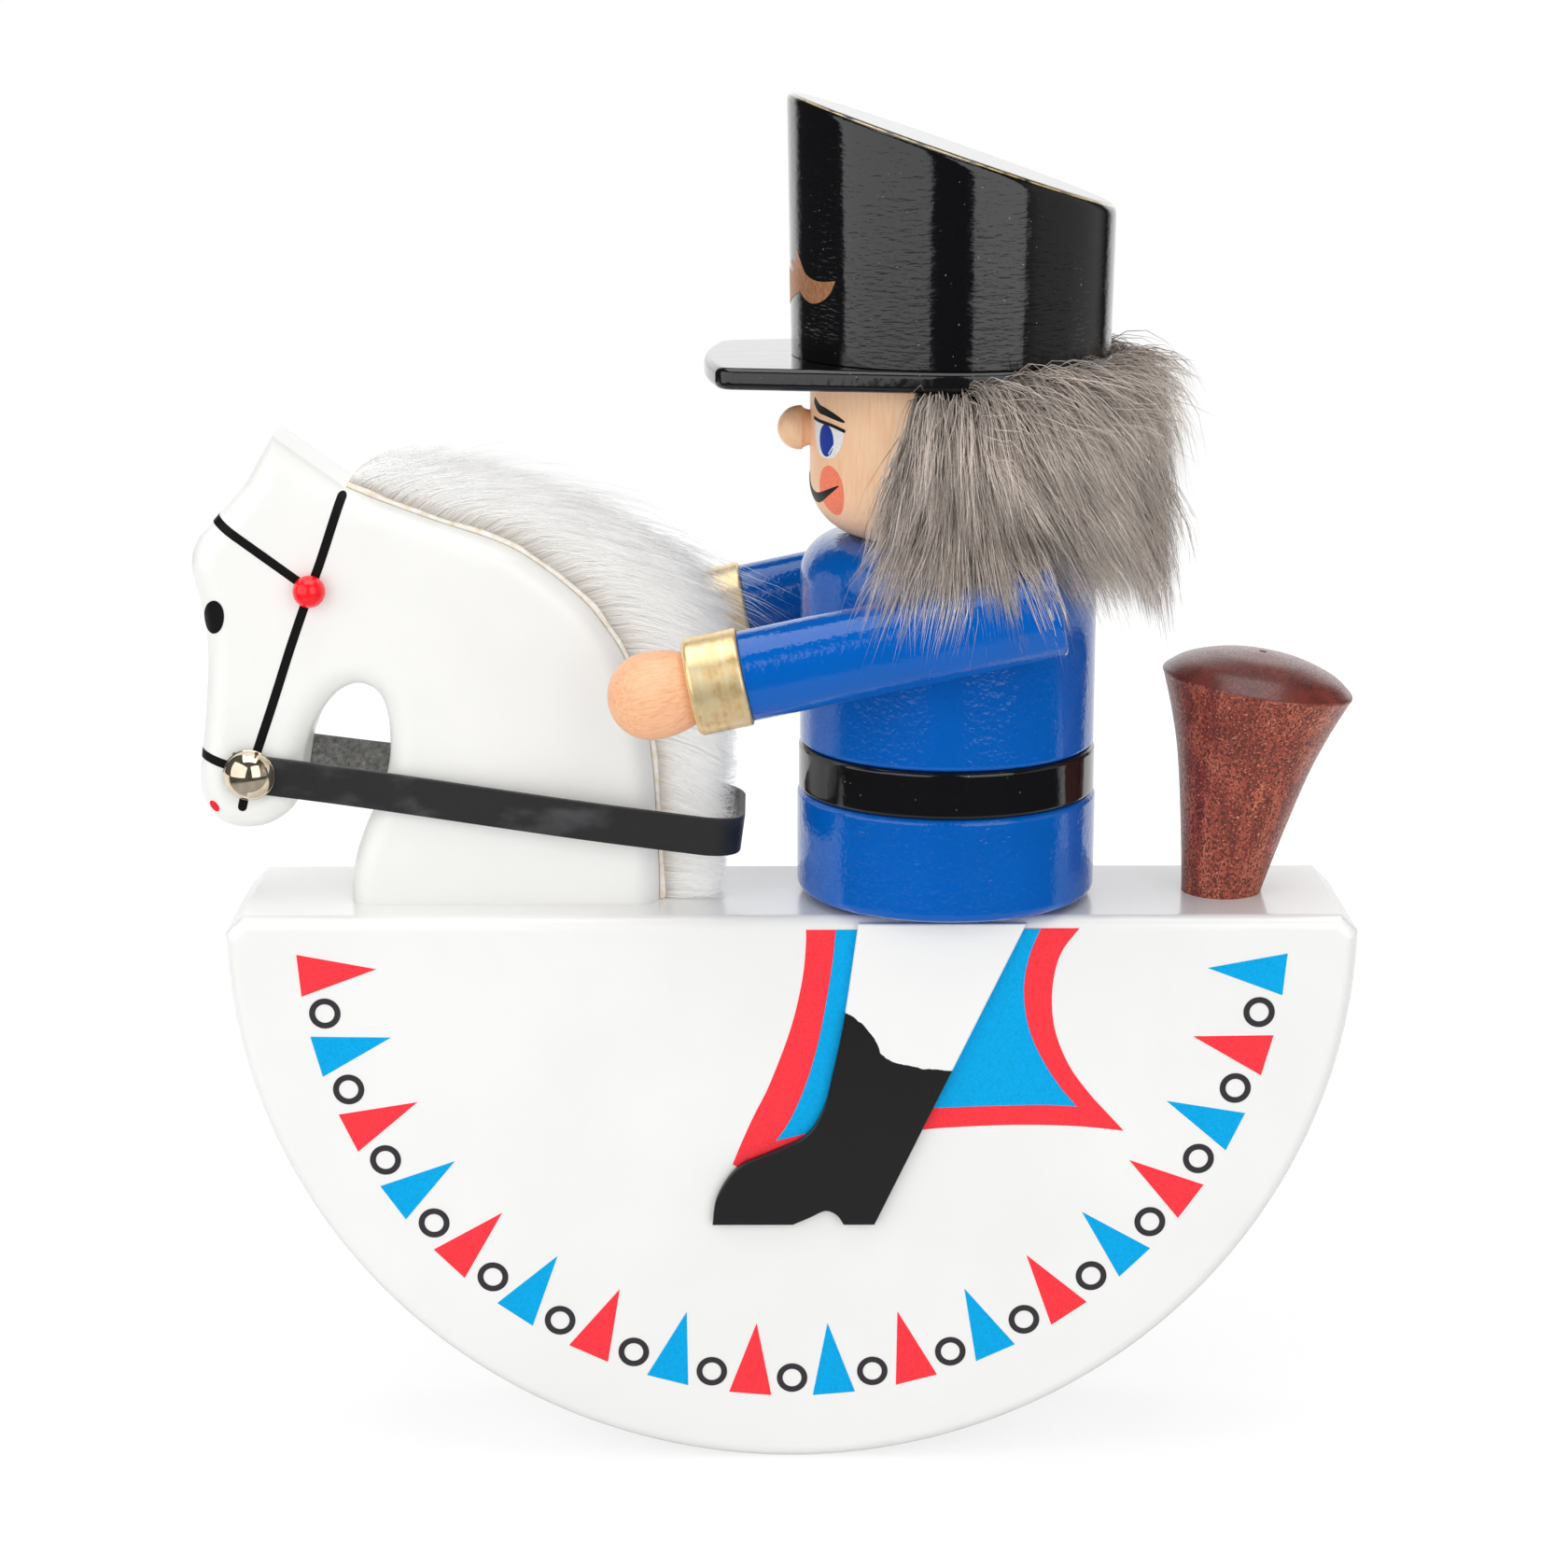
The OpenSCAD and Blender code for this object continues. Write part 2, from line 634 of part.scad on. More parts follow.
arm_clear = 0.5;
fur_clear = 0.4;
fur_in = max(hide_r, coat_r) + fur_clear;
module hair_fur() color([0.45, 0.44, 0.42])
  difference() {
    hair_sector()
      polygon(concat(
        smooth([
          [head_r + hair_out * 0.3, head_h - 0.4], [head_r + hair_out * 0.72, head_h - 1.5],
          [head_r + hair_out * 0.95, head_h * 0.7], [head_r + hair_out * 1.02, head_h * 0.35],
          [head_r + hair_out * 1.03, 0], [head_r + hair_out * 0.95, -hair_drop * 0.75],
          [head_r + hair_out * 0.7, -hair_drop]
        ], 4),
        [
          [fur_in + 2, -hair_drop * 0.8], [fur_in, -hair_drop * 0.5], [fur_in, hair_low],
          [hide_r + hair_gap, hair_low + 1], [hide_r + hair_gap, head_h - 0.4]
        ]
      ));
    for (side = [-1, 1])
      arm_place(side) translate([0, 0, -hand_r - arm_clear])
        cylinder(r = cuff_r + arm_clear, h = arm_len + hand_r + 2 * arm_clear);
  }

// Brim: a round plate under the hat, drawn out to a broad peak in front
module brim_plan() {
  corner = [brim_front_x, brim_front_w];
  reach = norm(corner);
  tangent_turn = atan2(corner[1], corner[0]) + acos(brim_r / reach);
  tangent_at = brim_r * [cos(tangent_turn), sin(tangent_turn)];
  bow_r = (brim_front_w * brim_front_w + brim_bow * brim_bow) / (2 * brim_bow);
  bow_turn = asin(brim_front_w / bow_r);
  front = arc([brim_front_x + brim_bow - bow_r, 0], bow_r, -bow_turn, bow_turn, 16);
  circle(brim_r);
  polygon(concat([[tangent_at[0], -tangent_at[1]]], front, [tangent_at]));
}

module brim() color(black)
  translate([rider_x, 0, brim_z])
    difference() {
      rotate([0, 0, 180]) linear_extrude(height = brim_t) brim_plan();
      translate([0, 0, -eps]) cylinder(d = head_dowel_d + 2 * glue_gap, h = brim_t + 2 * eps);
    }

// Hat: a turned cone frustum cut off at a slant
hat_slant = atan((hat_front_h - hat_back_h) / (2 * hat_top_r));
module hat() color(black)
  translate([rider_x, 0, hat_z])
    difference() {
      cylinder(r1 = hat_r, r2 = hat_top_r, h = hat_front_h);
      translate([-hat_top_r, 0, hat_front_h])
        rotate([0, hat_slant, 0]) translate([-far / 2, -far / 2, 0]) cube([far, far, far]);
      translate([0, 0, -eps]) cylinder(d = head_dowel_d + 2 * glue_gap, h = hat_dowel_up + end_gap + eps);
    }

module hat_dowel() color(raw_wood)
  translate([rider_x, 0, brim_z - hat_dowel_in + end_gap])
    cylinder(d = head_dowel_d, h = hat_dowel_in - end_gap + brim_t + hat_dowel_up);

// Arms: turned sleeves seated in hollows against the coat, with cuffs and ball hands.
// An arm's frame has its origin in the hand and its Z axis along the arm to the shoulder.
arm_y = coat_r + sleeve_r - arm_seat;
shoulder_at = [rider_x + arm_back, coat_z + arm_up];
hand_at = shoulder_at - arm_len * [cos(arm_angle), sin(arm_angle)];
cuff_from = hand_neck;
sleeve_from = cuff_from + cuff_len;
dowel_s = (rider_x - hand_at[0]) / cos(arm_angle);

module arm_place(side) {
  translate([hand_at[0], side * arm_y, hand_at[1]]) rotate([0, 90 - arm_angle, 0]) children();
}

module arm_dowel_bores() {
  for (side = [-1, 1])
    arm_place(side) translate([0, -side * arm_y, dowel_s]) rotate([-90 * side, 0, 0])
      translate([0, 0, coat_r - arm_dowel_in - end_gap])
        cylinder(d = arm_dowel_d + 2 * glue_gap, h = 2 * arm_dowel_in + end_gap, $fn = 48);
}

module sleeve(side) color(coat_blue)
  difference() {
    arm_place(side)
      translate([0, 0, sleeve_from]) cylinder(r = sleeve_r, h = arm_len - sleeve_from);
    translate([rider_x, 0, coat_z]) cylinder(r = coat_r, h = coat_h);
    arm_place(side)
      translate([0, 0, sleeve_from - eps])
        cylinder(d = hand_peg_d + 2 * glue_gap, h = hand_peg_in + end_gap + eps, $fn = 48);
    arm_place(side) translate([0, -side * arm_y, dowel_s]) rotate([-90 * side, 0, 0])
      translate([0, 0, coat_r - arm_dowel_in])
        cylinder(d = arm_dowel_d + 2 * glue_gap, h = 2 * arm_dowel_in - arm_seat + end_gap, $fn = 48);
  }

module cuff(side) color(gold)
  arm_place(side)
    translate([0, 0, cuff_from])
      rotate_extrude() polygon(concat(
        [[hand_peg_d / 2 + glue_gap, 0]],
        arc([cuff_r - 0.7, 0.7], 0.7, -90, 0, 4),
        arc([cuff_r - 0.4, cuff_len - 0.4], 0.4, 0, 90, 4),
        [[hand_peg_d / 2 + glue_gap, cuff_len]]
      ));

module hand(side) color(skin)
  arm_place(side) {
    rotate_extrude() polygon(concat(
      arc([0, 0], hand_r, -90, 25, 14),
      [[hand_r * 0.82, cuff_from], [0, cuff_from]]
    ));
    translate([0, 0, cuff_from - eps])
      cylinder(d = hand_peg_d, h = cuff_len + hand_peg_in + eps, $fn = 48);
  }

module arm_dowels() color(raw_wood)
  for (side = [-1, 1])
    arm_place(side) translate([0, -side * arm_y, dowel_s]) rotate([-90 * side, 0, 0])
      translate([0, 0, coat_r - arm_dowel_in])
        cylinder(d = arm_dowel_d, h = 2 * arm_dowel_in - arm_seat, $fn = 48);

module sleeve_left() sleeve(-1);
module sleeve_right() sleeve(1);
module cuff_left() cuff(-1);
module cuff_right() cuff(1);
module hand_left() hand(-1);
module hand_right() hand(1);

// Tail: a turned club that widens to a domed rim, its stem glued into the board
module tail_place() {
  translate([tail_x, 0, deck_z]) rotate([0, tail_lean, 0]) children();
}

tail_side = smooth([
  [tail_r, 0], [tail_r + 0.22 * (tail_rim_r - tail_r), 0.31 * tail_len],
  [tail_r + 0.48 * (tail_rim_r - tail_r), 0.62 * tail_len],
  [tail_r + 0.72 * (tail_rim_r - tail_r), 0.82 * tail_len], [tail_rim_r, tail_len]
], 5);
dome_round = smooth([
  [tail_rim_r - 0.3, tail_len + 0.8], [0.8 * tail_rim_r, tail_len + 0.52 * tail_dome],
  [0.5 * tail_rim_r, tail_len + 0.83 * tail_dome], [0.2 * tail_rim_r, tail_len + 0.97 * tail_dome],
  [0, tail_len + tail_dome]
], 4);

module tail_knob() color([0.42, 0.16, 0.12])
  tail_place()
    rotate_extrude() polygon(concat([[0, -tail_deep], [tail_r, -tail_deep]], tail_side, dome_round));

rocker();
counterweight();
weight_plug();
leg_left();
leg_right();
horse_head();
horse_dowels();
mane_hide();
mane_fur();
bridle_beads();
cheek_nails();
rein();
coat_skirt();
belt();
coat_body();
coat_dowel();
neck_dowel();
head();
nose();
hair_hide();
hair_fur();
brim();
hat();
hat_dowel();
sleeve_left();
sleeve_right();
cuff_left();
cuff_right();
hand_left();
hand_right();
arm_dowels();
tail_knob();
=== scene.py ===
"""A wooden rocking horse with its rider, a balancing toy on a round sole.

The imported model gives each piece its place. Here the pieces get the shapes and finishes that
show: lacquered boards and turned wood, painted ornament, a leather rein, and real strands of
fur. Every shape is worked out in millimetres, and add_piece turns it into metres.
"""
from math import atan2, cos, degrees, pi, radians, sin, sqrt

import bmesh
import bpy
import numpy as np
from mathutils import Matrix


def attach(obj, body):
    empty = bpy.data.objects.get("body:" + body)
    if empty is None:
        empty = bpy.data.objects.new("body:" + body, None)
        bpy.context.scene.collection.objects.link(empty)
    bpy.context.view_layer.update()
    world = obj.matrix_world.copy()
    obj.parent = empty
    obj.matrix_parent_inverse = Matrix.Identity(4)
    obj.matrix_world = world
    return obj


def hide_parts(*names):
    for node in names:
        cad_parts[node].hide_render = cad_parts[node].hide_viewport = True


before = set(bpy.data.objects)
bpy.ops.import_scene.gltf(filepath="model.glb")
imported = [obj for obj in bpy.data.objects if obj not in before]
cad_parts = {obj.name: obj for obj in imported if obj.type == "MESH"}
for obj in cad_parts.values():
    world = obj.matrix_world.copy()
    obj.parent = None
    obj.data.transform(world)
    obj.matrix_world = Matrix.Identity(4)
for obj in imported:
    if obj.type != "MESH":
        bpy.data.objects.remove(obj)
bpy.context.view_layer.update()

# Camera: it stands in front of the near side and a little above the hat's top, and looks
# down by about fourteen degrees.
camera_down = 13.663
camera_aside = 0.295
camera_lens = bpy.data.cameras.new("camera")
camera_lens.sensor_width = 36
camera_lens.lens = 78.17
camera_lens.clip_start = 0.01
camera = bpy.data.objects.new("camera", camera_lens)
camera.location = (-0.0039, -0.5235, 0.2351)
camera.rotation_euler = (radians(90 - camera_down), 0, radians(-camera_aside))
bpy.context.scene.collection.objects.link(camera)
bpy.context.scene.camera = camera
bpy.context.scene.view_settings.view_transform = "Standard"


# Finishes are node trees. A Wire is one output socket, and plain arithmetic on it adds the
# nodes for that sum. Nodes adds any other node to a tree, and a Finish is a material whose
# Principled shader the wires feed.
class Wire:
    """One output socket, with the arithmetic operators standing for nodes."""

    def __init__(self, socket):
        self.socket = socket
        self.tree = socket.id_data

    def sum_of(self, operation, first, second):
        """Adds the node that works out first and second: Math, Vector Math or a colour Mix."""
        if self.socket.type == "RGBA":
            return colour_mix(self.tree, operation, 1, first, second)
        vector = self.socket.type == "VECTOR"
        node = self.tree.nodes.new("ShaderNodeVectorMath" if vector else "ShaderNodeMath")
        node.operation = operation
        for entry, value in zip(node.inputs, (first, second)):
            feed(self.tree, entry, value)
        return Wire(node.outputs[0])

    def __add__(self, other):
        return self.sum_of("ADD", self, other)

    def __radd__(self, other):
        return self.sum_of("ADD", other, self)

    def __sub__(self, other):
        return self.sum_of("SUBTRACT", self, other)

    def __rsub__(self, other):
        return self.sum_of("SUBTRACT", other, self)

    def __mul__(self, other):
        return self.sum_of("MULTIPLY", self, other)

    def __rmul__(self, other):
        return self.sum_of("MULTIPLY", other, self)

    def __truediv__(self, other):
        return self.sum_of("DIVIDE", self, other)


def feed(tree, entry, value):
    """Links a wire to a socket, or sets the socket to a number, colour or vector."""
    if isinstance(value, Wire):
        tree.links.new(value.socket, entry)
    elif entry.type == "RGBA":
        entry.default_value = (*value, 1)
    elif entry.type == "VECTOR" and not hasattr(value, "__len__"):
        entry.default_value = (value,) * 3
    else:
        entry.default_value = value


def colour_mix(tree, blend, factor, first, second):
    """Adds a Mix node of two colours."""
    node = tree.nodes.new("ShaderNodeMix")
    node.data_type = "RGBA"
    node.blend_type = blend
    colours = [entry for entry in node.inputs if entry.type == "RGBA"]
    for entry, value in zip((node.inputs[0], *colours), (factor, first, second)):
        feed(tree, entry, value)
    return Wire([out for out in node.outputs if out.type == "RGBA"][0])


class Nodes:
    """Adds nodes to one tree, where place is the coordinates that patterns follow."""

    def __init__(self, tree, coordinates):
        self.tree = tree
        self.place = self.node("ShaderNodeTexCoord", out=coordinates)

    def node(self, kind, sockets=None, out=0, stops=None, **settings):
        """Adds a node, its settings and ramp stops first, then its sockets, and gives an output."""
        node = self.tree.nodes.new(kind)
        for name, value in settings.items():
            setattr(node, name, value)
        if stops:
            ramp = node.color_ramp
            while len(ramp.elements) < len(stops):
                ramp.elements.new(0.5)
            for element, (at, colour) in zip(ramp.elements, stops):
                element.position = at
                element.color = (*colour, 1) if hasattr(colour, "__len__") else (colour,) * 3 + (1,)
        for name, value in (sockets or {}).items():
            feed(self.tree, node.inputs[name], value)
        return Wire(node.outputs[out])

    def ramp(self, value, *stops):
        """A colour for each value, by stops of (value, colour)."""
        return self.node("ShaderNodeValToRGB", {"Fac": value}, stops=stops)

    def mixed(self, factor, first, second):
        """The first colour where factor is 0, the second where it is 1."""
        return colour_mix(self.tree, "MIX", factor, first, second)

    def step(self, value, low, high):
        """0 below low, 1 above high, smooth between them."""
        sockets = {"Value": value, "From Min": low, "From Max": high}
        return self.node("ShaderNodeMapRange", sockets, interpolation_type="SMOOTHSTEP")

    def axes(self, scale=1000.0):
        """The three coordinates of the place times scale, which makes them millimetres."""
        split = self.node("ShaderNodeSeparateXYZ", {"Vector": self.place * scale})
        return [Wire(split.socket.node.outputs[axis]) for axis in "XYZ"]


class Finish(Nodes):
    """A material: constants go on its Principled shader, and wires feed what varies."""

    def __init__(self, name, **constants):
        self.material = bpy.data.materials.new(name)
        self.material.use_nodes = True
        super().__init__(self.material.node_tree, "Object")
        self.shader = self.tree.nodes["Principled BSDF"]
        self.dress(**constants)

    def dress(self, **sockets):
        """Sets or links the Principled shader's sockets; base_color stands for Base Color."""
        for name, value in sockets.items():
            words = name.replace("_", " ").title().replace("Ior", "IOR")
            feed(self.tree, self.shader.inputs[words], value)

    def colour(self, value, *stops):
        """The base colour for each value, by stops of (value, colour)."""
        self.dress(base_color=self.ramp(value, *stops))

    def noise(self, size, detail=2.0, where=None, stretch=(1, 1, 1), roughness=0.5):
        """Noise about 0.5 whose blots are about size millimetres wide, stretched along an axis."""
        scaled = (where or self.place) * tuple(1000 / (size * s) for s in stretch)
        sockets = {"Vector": scaled, "Scale": 1.0, "Detail": detail, "Roughness": roughness}
        return self.node("ShaderNodeTexNoise", sockets)

    def upright(self, lean):
        """The place as it is where the piece's own axis, which leans by lean degrees about Y, is Z."""
        sockets = {"Vector": self.place, "Rotation": (0, radians(-lean), 0)}
        return self.node("ShaderNodeMapping", sockets)

    def emboss(self, height, depth):
        """Turns a height from 0 to 1 into relief of depth millimetres."""
        sockets = {"Height": height, "Strength": 1.0, "Distance": depth / 1000}
        self.dress(normal=self.node("ShaderNodeBump", sockets, out="Normal"))


# Studio: a white table, a bright backdrop behind it, a wide soft box on the left, a narrower
# one on the right, and a dark room behind the camera, as the gloss of the hat shows them. For
# the camera the table glows, so that it runs out into the white backdrop. Close to the toy it
# glows less, and keeps the shadow. Gloss sees it bright behind the toy, dimmer in front of it,
# and dark further off.
table_r = 0.95
table_white = 0.9
table_glow = 1.1
table_share = 0.7
table_near_gloss = 0.4
table_far_gloss = 0.03
backdrop_low_glow = 1.0
backdrop_high_glow = 1.25
right_wall_glow = 0.32
room_glow = 0.03
room_fill = 0.36
box_far = 1.0
box_high = 0.42
box_aim = 0.1
top_box_high = 1.3
pure_white = (1.0, 1.0, 1.0)

bpy.ops.mesh.primitive_circle_add(vertices=96, radius=table_r, fill_type="NGON")
table = bpy.context.object
table.name = "table"
paper = Finish("table_paper", base_color=(table_white,) * 3, roughness=0.6)
eye_ray = paper.node("ShaderNodeLightPath", out="Is Camera Ray")
gloss_ray = Wire(eye_ray.socket.node.outputs["Is Glossy Ray"])
table_x, table_y, _ = paper.axes()
from_toy = paper.node(
    "ShaderNodeMath", {0: table_x * table_x + table_y * table_y}, operation="SQRT"
)
far_out = paper.step(from_toy, 110, 330)
behind_toy = paper.step(table_y, 0, 60)
past_near = paper.step(from_toy, 230, 330)
in_front = table_near_gloss + past_near * (table_far_gloss - table_near_gloss)
in_gloss = in_front * (1 - behind_toy) + behind_toy * backdrop_low_glow
glow = paper.node("ShaderNodeEmission", {"Color": pure_white, "Strength": table_glow})
dim = paper.node("ShaderNodeEmission", {"Color": pure_white, "Strength": in_gloss})
glow_share = eye_ray * (table_share + far_out * (1 - table_share))
seen = paper.node("ShaderNodeMixShader", {0: glow_share, 1: Wire(paper.shader.outputs[0]), 2: glow})
surface = paper.node("ShaderNodeMixShader", {0: gloss_ray, 1: seen, 2: dim})
feed(paper.tree, paper.tree.nodes["Material Output"].inputs["Surface"], surface)
table.data.materials.append(paper.material)

world = bpy.data.worlds.new("studio")
bpy.context.scene.world = world
world.use_nodes = True
sky = Nodes(world.node_tree, "Generated")
camera_ray = sky.node("ShaderNodeLightPath", out="Is Camera Ray")
glossy_ray = Wire(camera_ray.socket.node.outputs["Is Glossy Ray"])
way_x, way_y, way_z = sky.axes(1.0)
backdrop = backdrop_low_glow + sky.step(way_z, 0.0, 0.12) * (backdrop_high_glow - backdrop_low_glow)
walls = sky.step(way_x, 0.7, 0.9) * right_wall_glow + room_glow
seen_in_gloss = walls + sky.step(way_y, 0.72, 0.86) * backdrop
unseen = glossy_ray * seen_in_gloss + (1 - glossy_ray) * room_fill
background = sky.tree.nodes["Background"].inputs
feed(sky.tree, background["Strength"], camera_ray + (1 - camera_ray) * unseen)
feed(sky.tree, background["Color"], pure_white)


def soft_box(name, size, glow, at, turn):
    """A square lamp at a place, turned about X and Z. Unturned it shines straight down."""
    lamp = bpy.data.lights.new(name, "AREA")
    lamp.shape = "RECTANGLE"
    lamp.size, lamp.size_y = size
    lamp.energy = glow * pi * size[0] * size[1]
    box = bpy.data.objects.new(name, lamp)
    box.location = at
    box.rotation_euler = (turn[0], 0, turn[1])
    bpy.context.scene.collection.objects.link(box)


for name, bearing, size, glow in (
    ("left_box", radians(50), (1.5, 1.1), 1.32),
    ("right_box", radians(-31.5), (0.74, 1.1), 1.55),
):
    at = (-sin(bearing) * box_far, -cos(bearing) * box_far, box_high)
    soft_box(name, size, glow, at, (pi / 2 + atan2(box_aim - box_high, box_far), -bearing))
soft_box("top_box", (1.2, 1.2), 2.1, (0, 0, top_box_high), (0, 0))


# Rocker: a half disc sawn from a thick board, all its edges rounded with a router, then
# sprayed with white lacquer. It stands on the lowest line of its round sole.
deck_z = 90.5
rocker_r = 88.0
rocker_t = 33.0
rocker_edge = 2.2
corner_cut = 2.6
rocker_face = rocker_t / 2


def arc(centre, radius, start, end, steps):
    """Points on a circle: centre + radius (cos a, sin a), a from start to end degrees."""
    turn = np.radians(np.linspace(start, end, steps + 1))
    return np.asarray(centre) + radius * np.stack([np.cos(turn), np.sin(turn)], axis=1)


def grid_faces(rows, columns, loop=False):
    """Quads between neighbours on a grid of points; loop joins the last column to the first."""
    r, c = np.meshgrid(
        np.arange(rows - 1), np.arange(columns if loop else columns - 1), indexing="ij"
    )
    after = (c + 1) % columns
    low, high = r * columns, (r + 1) * columns
    return np.stack([low + c, low + after, high + after, high + c], axis=-1).reshape(-1, 4).tolist()


def end_faces(rows, n):
    """The two faces that close a tube of rows of n points."""
    return [list(range(n)), [(rows - 1) * n + i for i in reversed(range(n))]]


def joined(*shapes):
    """Several shapes of (points, faces) as one."""
    points, faces, start = [], [], 0
    for shape_points, shape_faces in shapes:
        points.append(shape_points)
        faces += [[i + start for i in face] for face in shape_faces]
        start += len(shape_points)
    return np.concatenate(points), faces


def unit(vectors):
    """Each vector over its length."""
    return vectors / np.linalg.norm(vectors, axis=-1, keepdims=True)


def with_y(flat, y):
    """Points of (x, z) with their place across Y."""
    return np.stack([flat[:, 0], np.broadcast_to(y, len(flat)), flat[:, 1]], axis=1)


def board(outline, thickness, edge, steps=6, foot=False):
    """A board across Y with a rounded edge: for a from 0 to 90 degrees, its outline in X and Z, taken
    anticlockwise, moves in by edge (1 - sin a) with mitred corners while it sinks edge (1 - cos a)
    below each face. A board with a foot is cut off level at its first and last point."""
    n = len(outline)
    after = unit(np.roll(outline, -1, axis=0) - outline)[:, ::-1] * (-1, 1)
    before = np.roll(after, 1, axis=0)
    inward = (before + after) / (1 + (before * after).sum(axis=1, keepdims=True))
    if foot:
        inward[0] = (np.sign(after[0, 0]), 0)
        inward[-1] = (np.sign(before[-1, 0]), 0)
    turn = np.radians(np.linspace(0, 90, steps + 1))
    points = []
    for a, side in [(a, -1) for a in turn] + [(a, 1) for a in turn[::-1]]:
        depth = side * (thickness / 2 - edge * (1 - cos(a)))
        points.append(with_y(outline + inward * edge * (1 - sin(a)), depth))
    rows = len(points)
    faces = grid_faces(rows, n, loop=not foot) + end_faces(rows, n)
    if foot:
        first = [k * n for k in range(rows)]
        faces.append(first + [k + n - 1 for k in reversed(first)])
    return np.concatenate(points), faces


def show_mesh(name, mesh, finish, node, body="toy"):
    """Puts a mesh in the scene as the piece that is seen in place of a node, if it names one."""
    mesh.materials.append(finish.material)
    piece = bpy.data.objects.new(name, mesh)
    bpy.context.scene.collection.objects.link(piece)
    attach(piece, body)
    if node:
        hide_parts(node)
    return piece


def add_piece(name, shape, finish, node=None, body="toy", sharp=32):
    """Makes a piece of (points, faces) in millimetres, closed, outward and smooth but for its corners."""
    points, faces = shape
    mesh = bpy.data.meshes.new(name)
    mesh.from_pydata(points * 0.001, [], faces)
    work = bmesh.new()
    work.from_mesh(mesh)
    bmesh.ops.remove_doubles(work, verts=work.verts, dist=2e-7)
    bmesh.ops.dissolve_degenerate(work, edges=work.edges, dist=1e-8)
    bmesh.ops.recalc_face_normals(work, faces=work.faces)
    work.to_mesh(mesh)
    work.free()
    mesh.shade_smooth()
    mesh.set_sharp_from_angle(angle=radians(sharp))
    piece = show_mesh(name, mesh, finish, node, body)
    even = piece.modifiers.new("even shading", "WEIGHTED_NORMAL")
    even.keep_sharp = True
    even.weight = 100
    return piece


white_lacquer = Finish("white_lacquer", roughness=0.3, coat_weight=0.7, coat_roughness=0.05)
white_lacquer.colour(
    white_lacquer.noise(30, 3), (0.35, (0.855, 0.855, 0.835)), (0.65, (0.885, 0.885, 0.87))
)
white_lacquer.emboss(white_lacquer.noise(5, 2) * 0.7 + white_lacquer.noise(1.2, 1) * 0.3, 0.02)

rise = deck_z - rocker_r
deck_half = sqrt(rocker_r ** 2 - rise ** 2)
cut_x = deck_half - corner_cut
sole_turn = degrees(atan2(rise - corner_cut, deck_half))
sole = arc((0, rocker_r), rocker_r, sole_turn, -180 - sole_turn, 240)
rocker = board(np.concatenate([sole, [(-cut_x, deck_z), (cut_x, deck_z)]])[::-1], rocker_t, rocker_edge)
add_piece("rocker_board", rocker, white_lacquer, "rocker")


# Border: triangles in red and blue by turns, with a small ring between two of them, screen
# printed on both faces round the sole. The paint stands a few hundredths above the lacquer.
paint_proud = 0.05
paint_deep = 0.2
triangle_base_r = 76.9
triangle_tip_r = 64.8
triangle_half_w = 3.4
ring_place_r = 73.9
ring_outer_r = 2.45
ring_inner_r = 1.5


def paint_finish(name, colour, roughness=0.35):
    """Screen or brush paint: one colour with a fine, faint grain."""
    finish = Finish(name, roughness=roughness, specular_ior_level=0.1)
    finish.colour(finish.noise(0.35, 2), (0.35, [c * 0.86 for c in colour]), (0.6, colour))
    return finish


def printed(outline, side, proud=paint_proud):
    """A thin plate of paint on one face of the rocker: the outline in X and Z, and a straight wall."""
    outline = np.asarray(outline, float)
    n = len(outline)
    levels = (rocker_face - paint_deep, rocker_face + proud)
    points = np.concatenate([with_y(outline, side * level) for level in levels])
    return points, grid_faces(2, n, loop=True) + end_faces(2, n)


def from_sole_centre(radius, sideways, turn):
    """The point at a radius and a sideways step, both turned by turn degrees from straight down."""
    a = radians(turn)
    out, across = np.array([(sin(a), -cos(a)), (cos(a), sin(a))])
    return (0, rocker_r) + radius * out + sideways * across


def printed_triangle(turn, side):
    """One triangle of the border, its tip towards the middle of the sole's circle."""
    base = [from_sole_centre(triangle_base_r, w, turn) for w in (-triangle_half_w, triangle_half_w)]
    return printed([*base, from_sole_centre(triangle_tip_r, 0, turn)], side)


def printed_ring(turn, side):
    """One ring of the border: two circles joined by strips on both levels."""
    centre = from_sole_centre(ring_place_r, 0, turn)
    inner, outer = [arc(centre, r, 0, 352.5, 47) for r in (ring_inner_r, ring_outer_r)]
    low, high = side * (rocker_face - paint_deep), side * (rocker_face + paint_proud)
    rows = [(inner, low), (inner, high), (outer, high), (outer, low), (inner, low)]
    points = np.concatenate([with_y(circle, y) for circle, y in rows])
    return points, grid_faces(len(rows), len(inner), loop=True)


triangle_turns = np.arange(-85, 86, 10)
print_red = paint_finish("print_red", (1.0, 0.045, 0.062))
print_blue = paint_finish("print_blue", (0.0, 0.39, 0.8))
print_grey = paint_finish("print_grey", (0.045, 0.04, 0.045))
for name, finish, turns, shape in (
    ("border_red", print_red, triangle_turns[::2], printed_triangle),
    ("border_blue", print_blue, triangle_turns[1::2], printed_triangle),
    ("border_rings", print_grey, np.arange(-80, 81, 10), printed_ring),
):
    prints = joined(*[shape(turn, side) for turn in turns for side in (-1, 1)])
    add_piece(name, prints, finish)


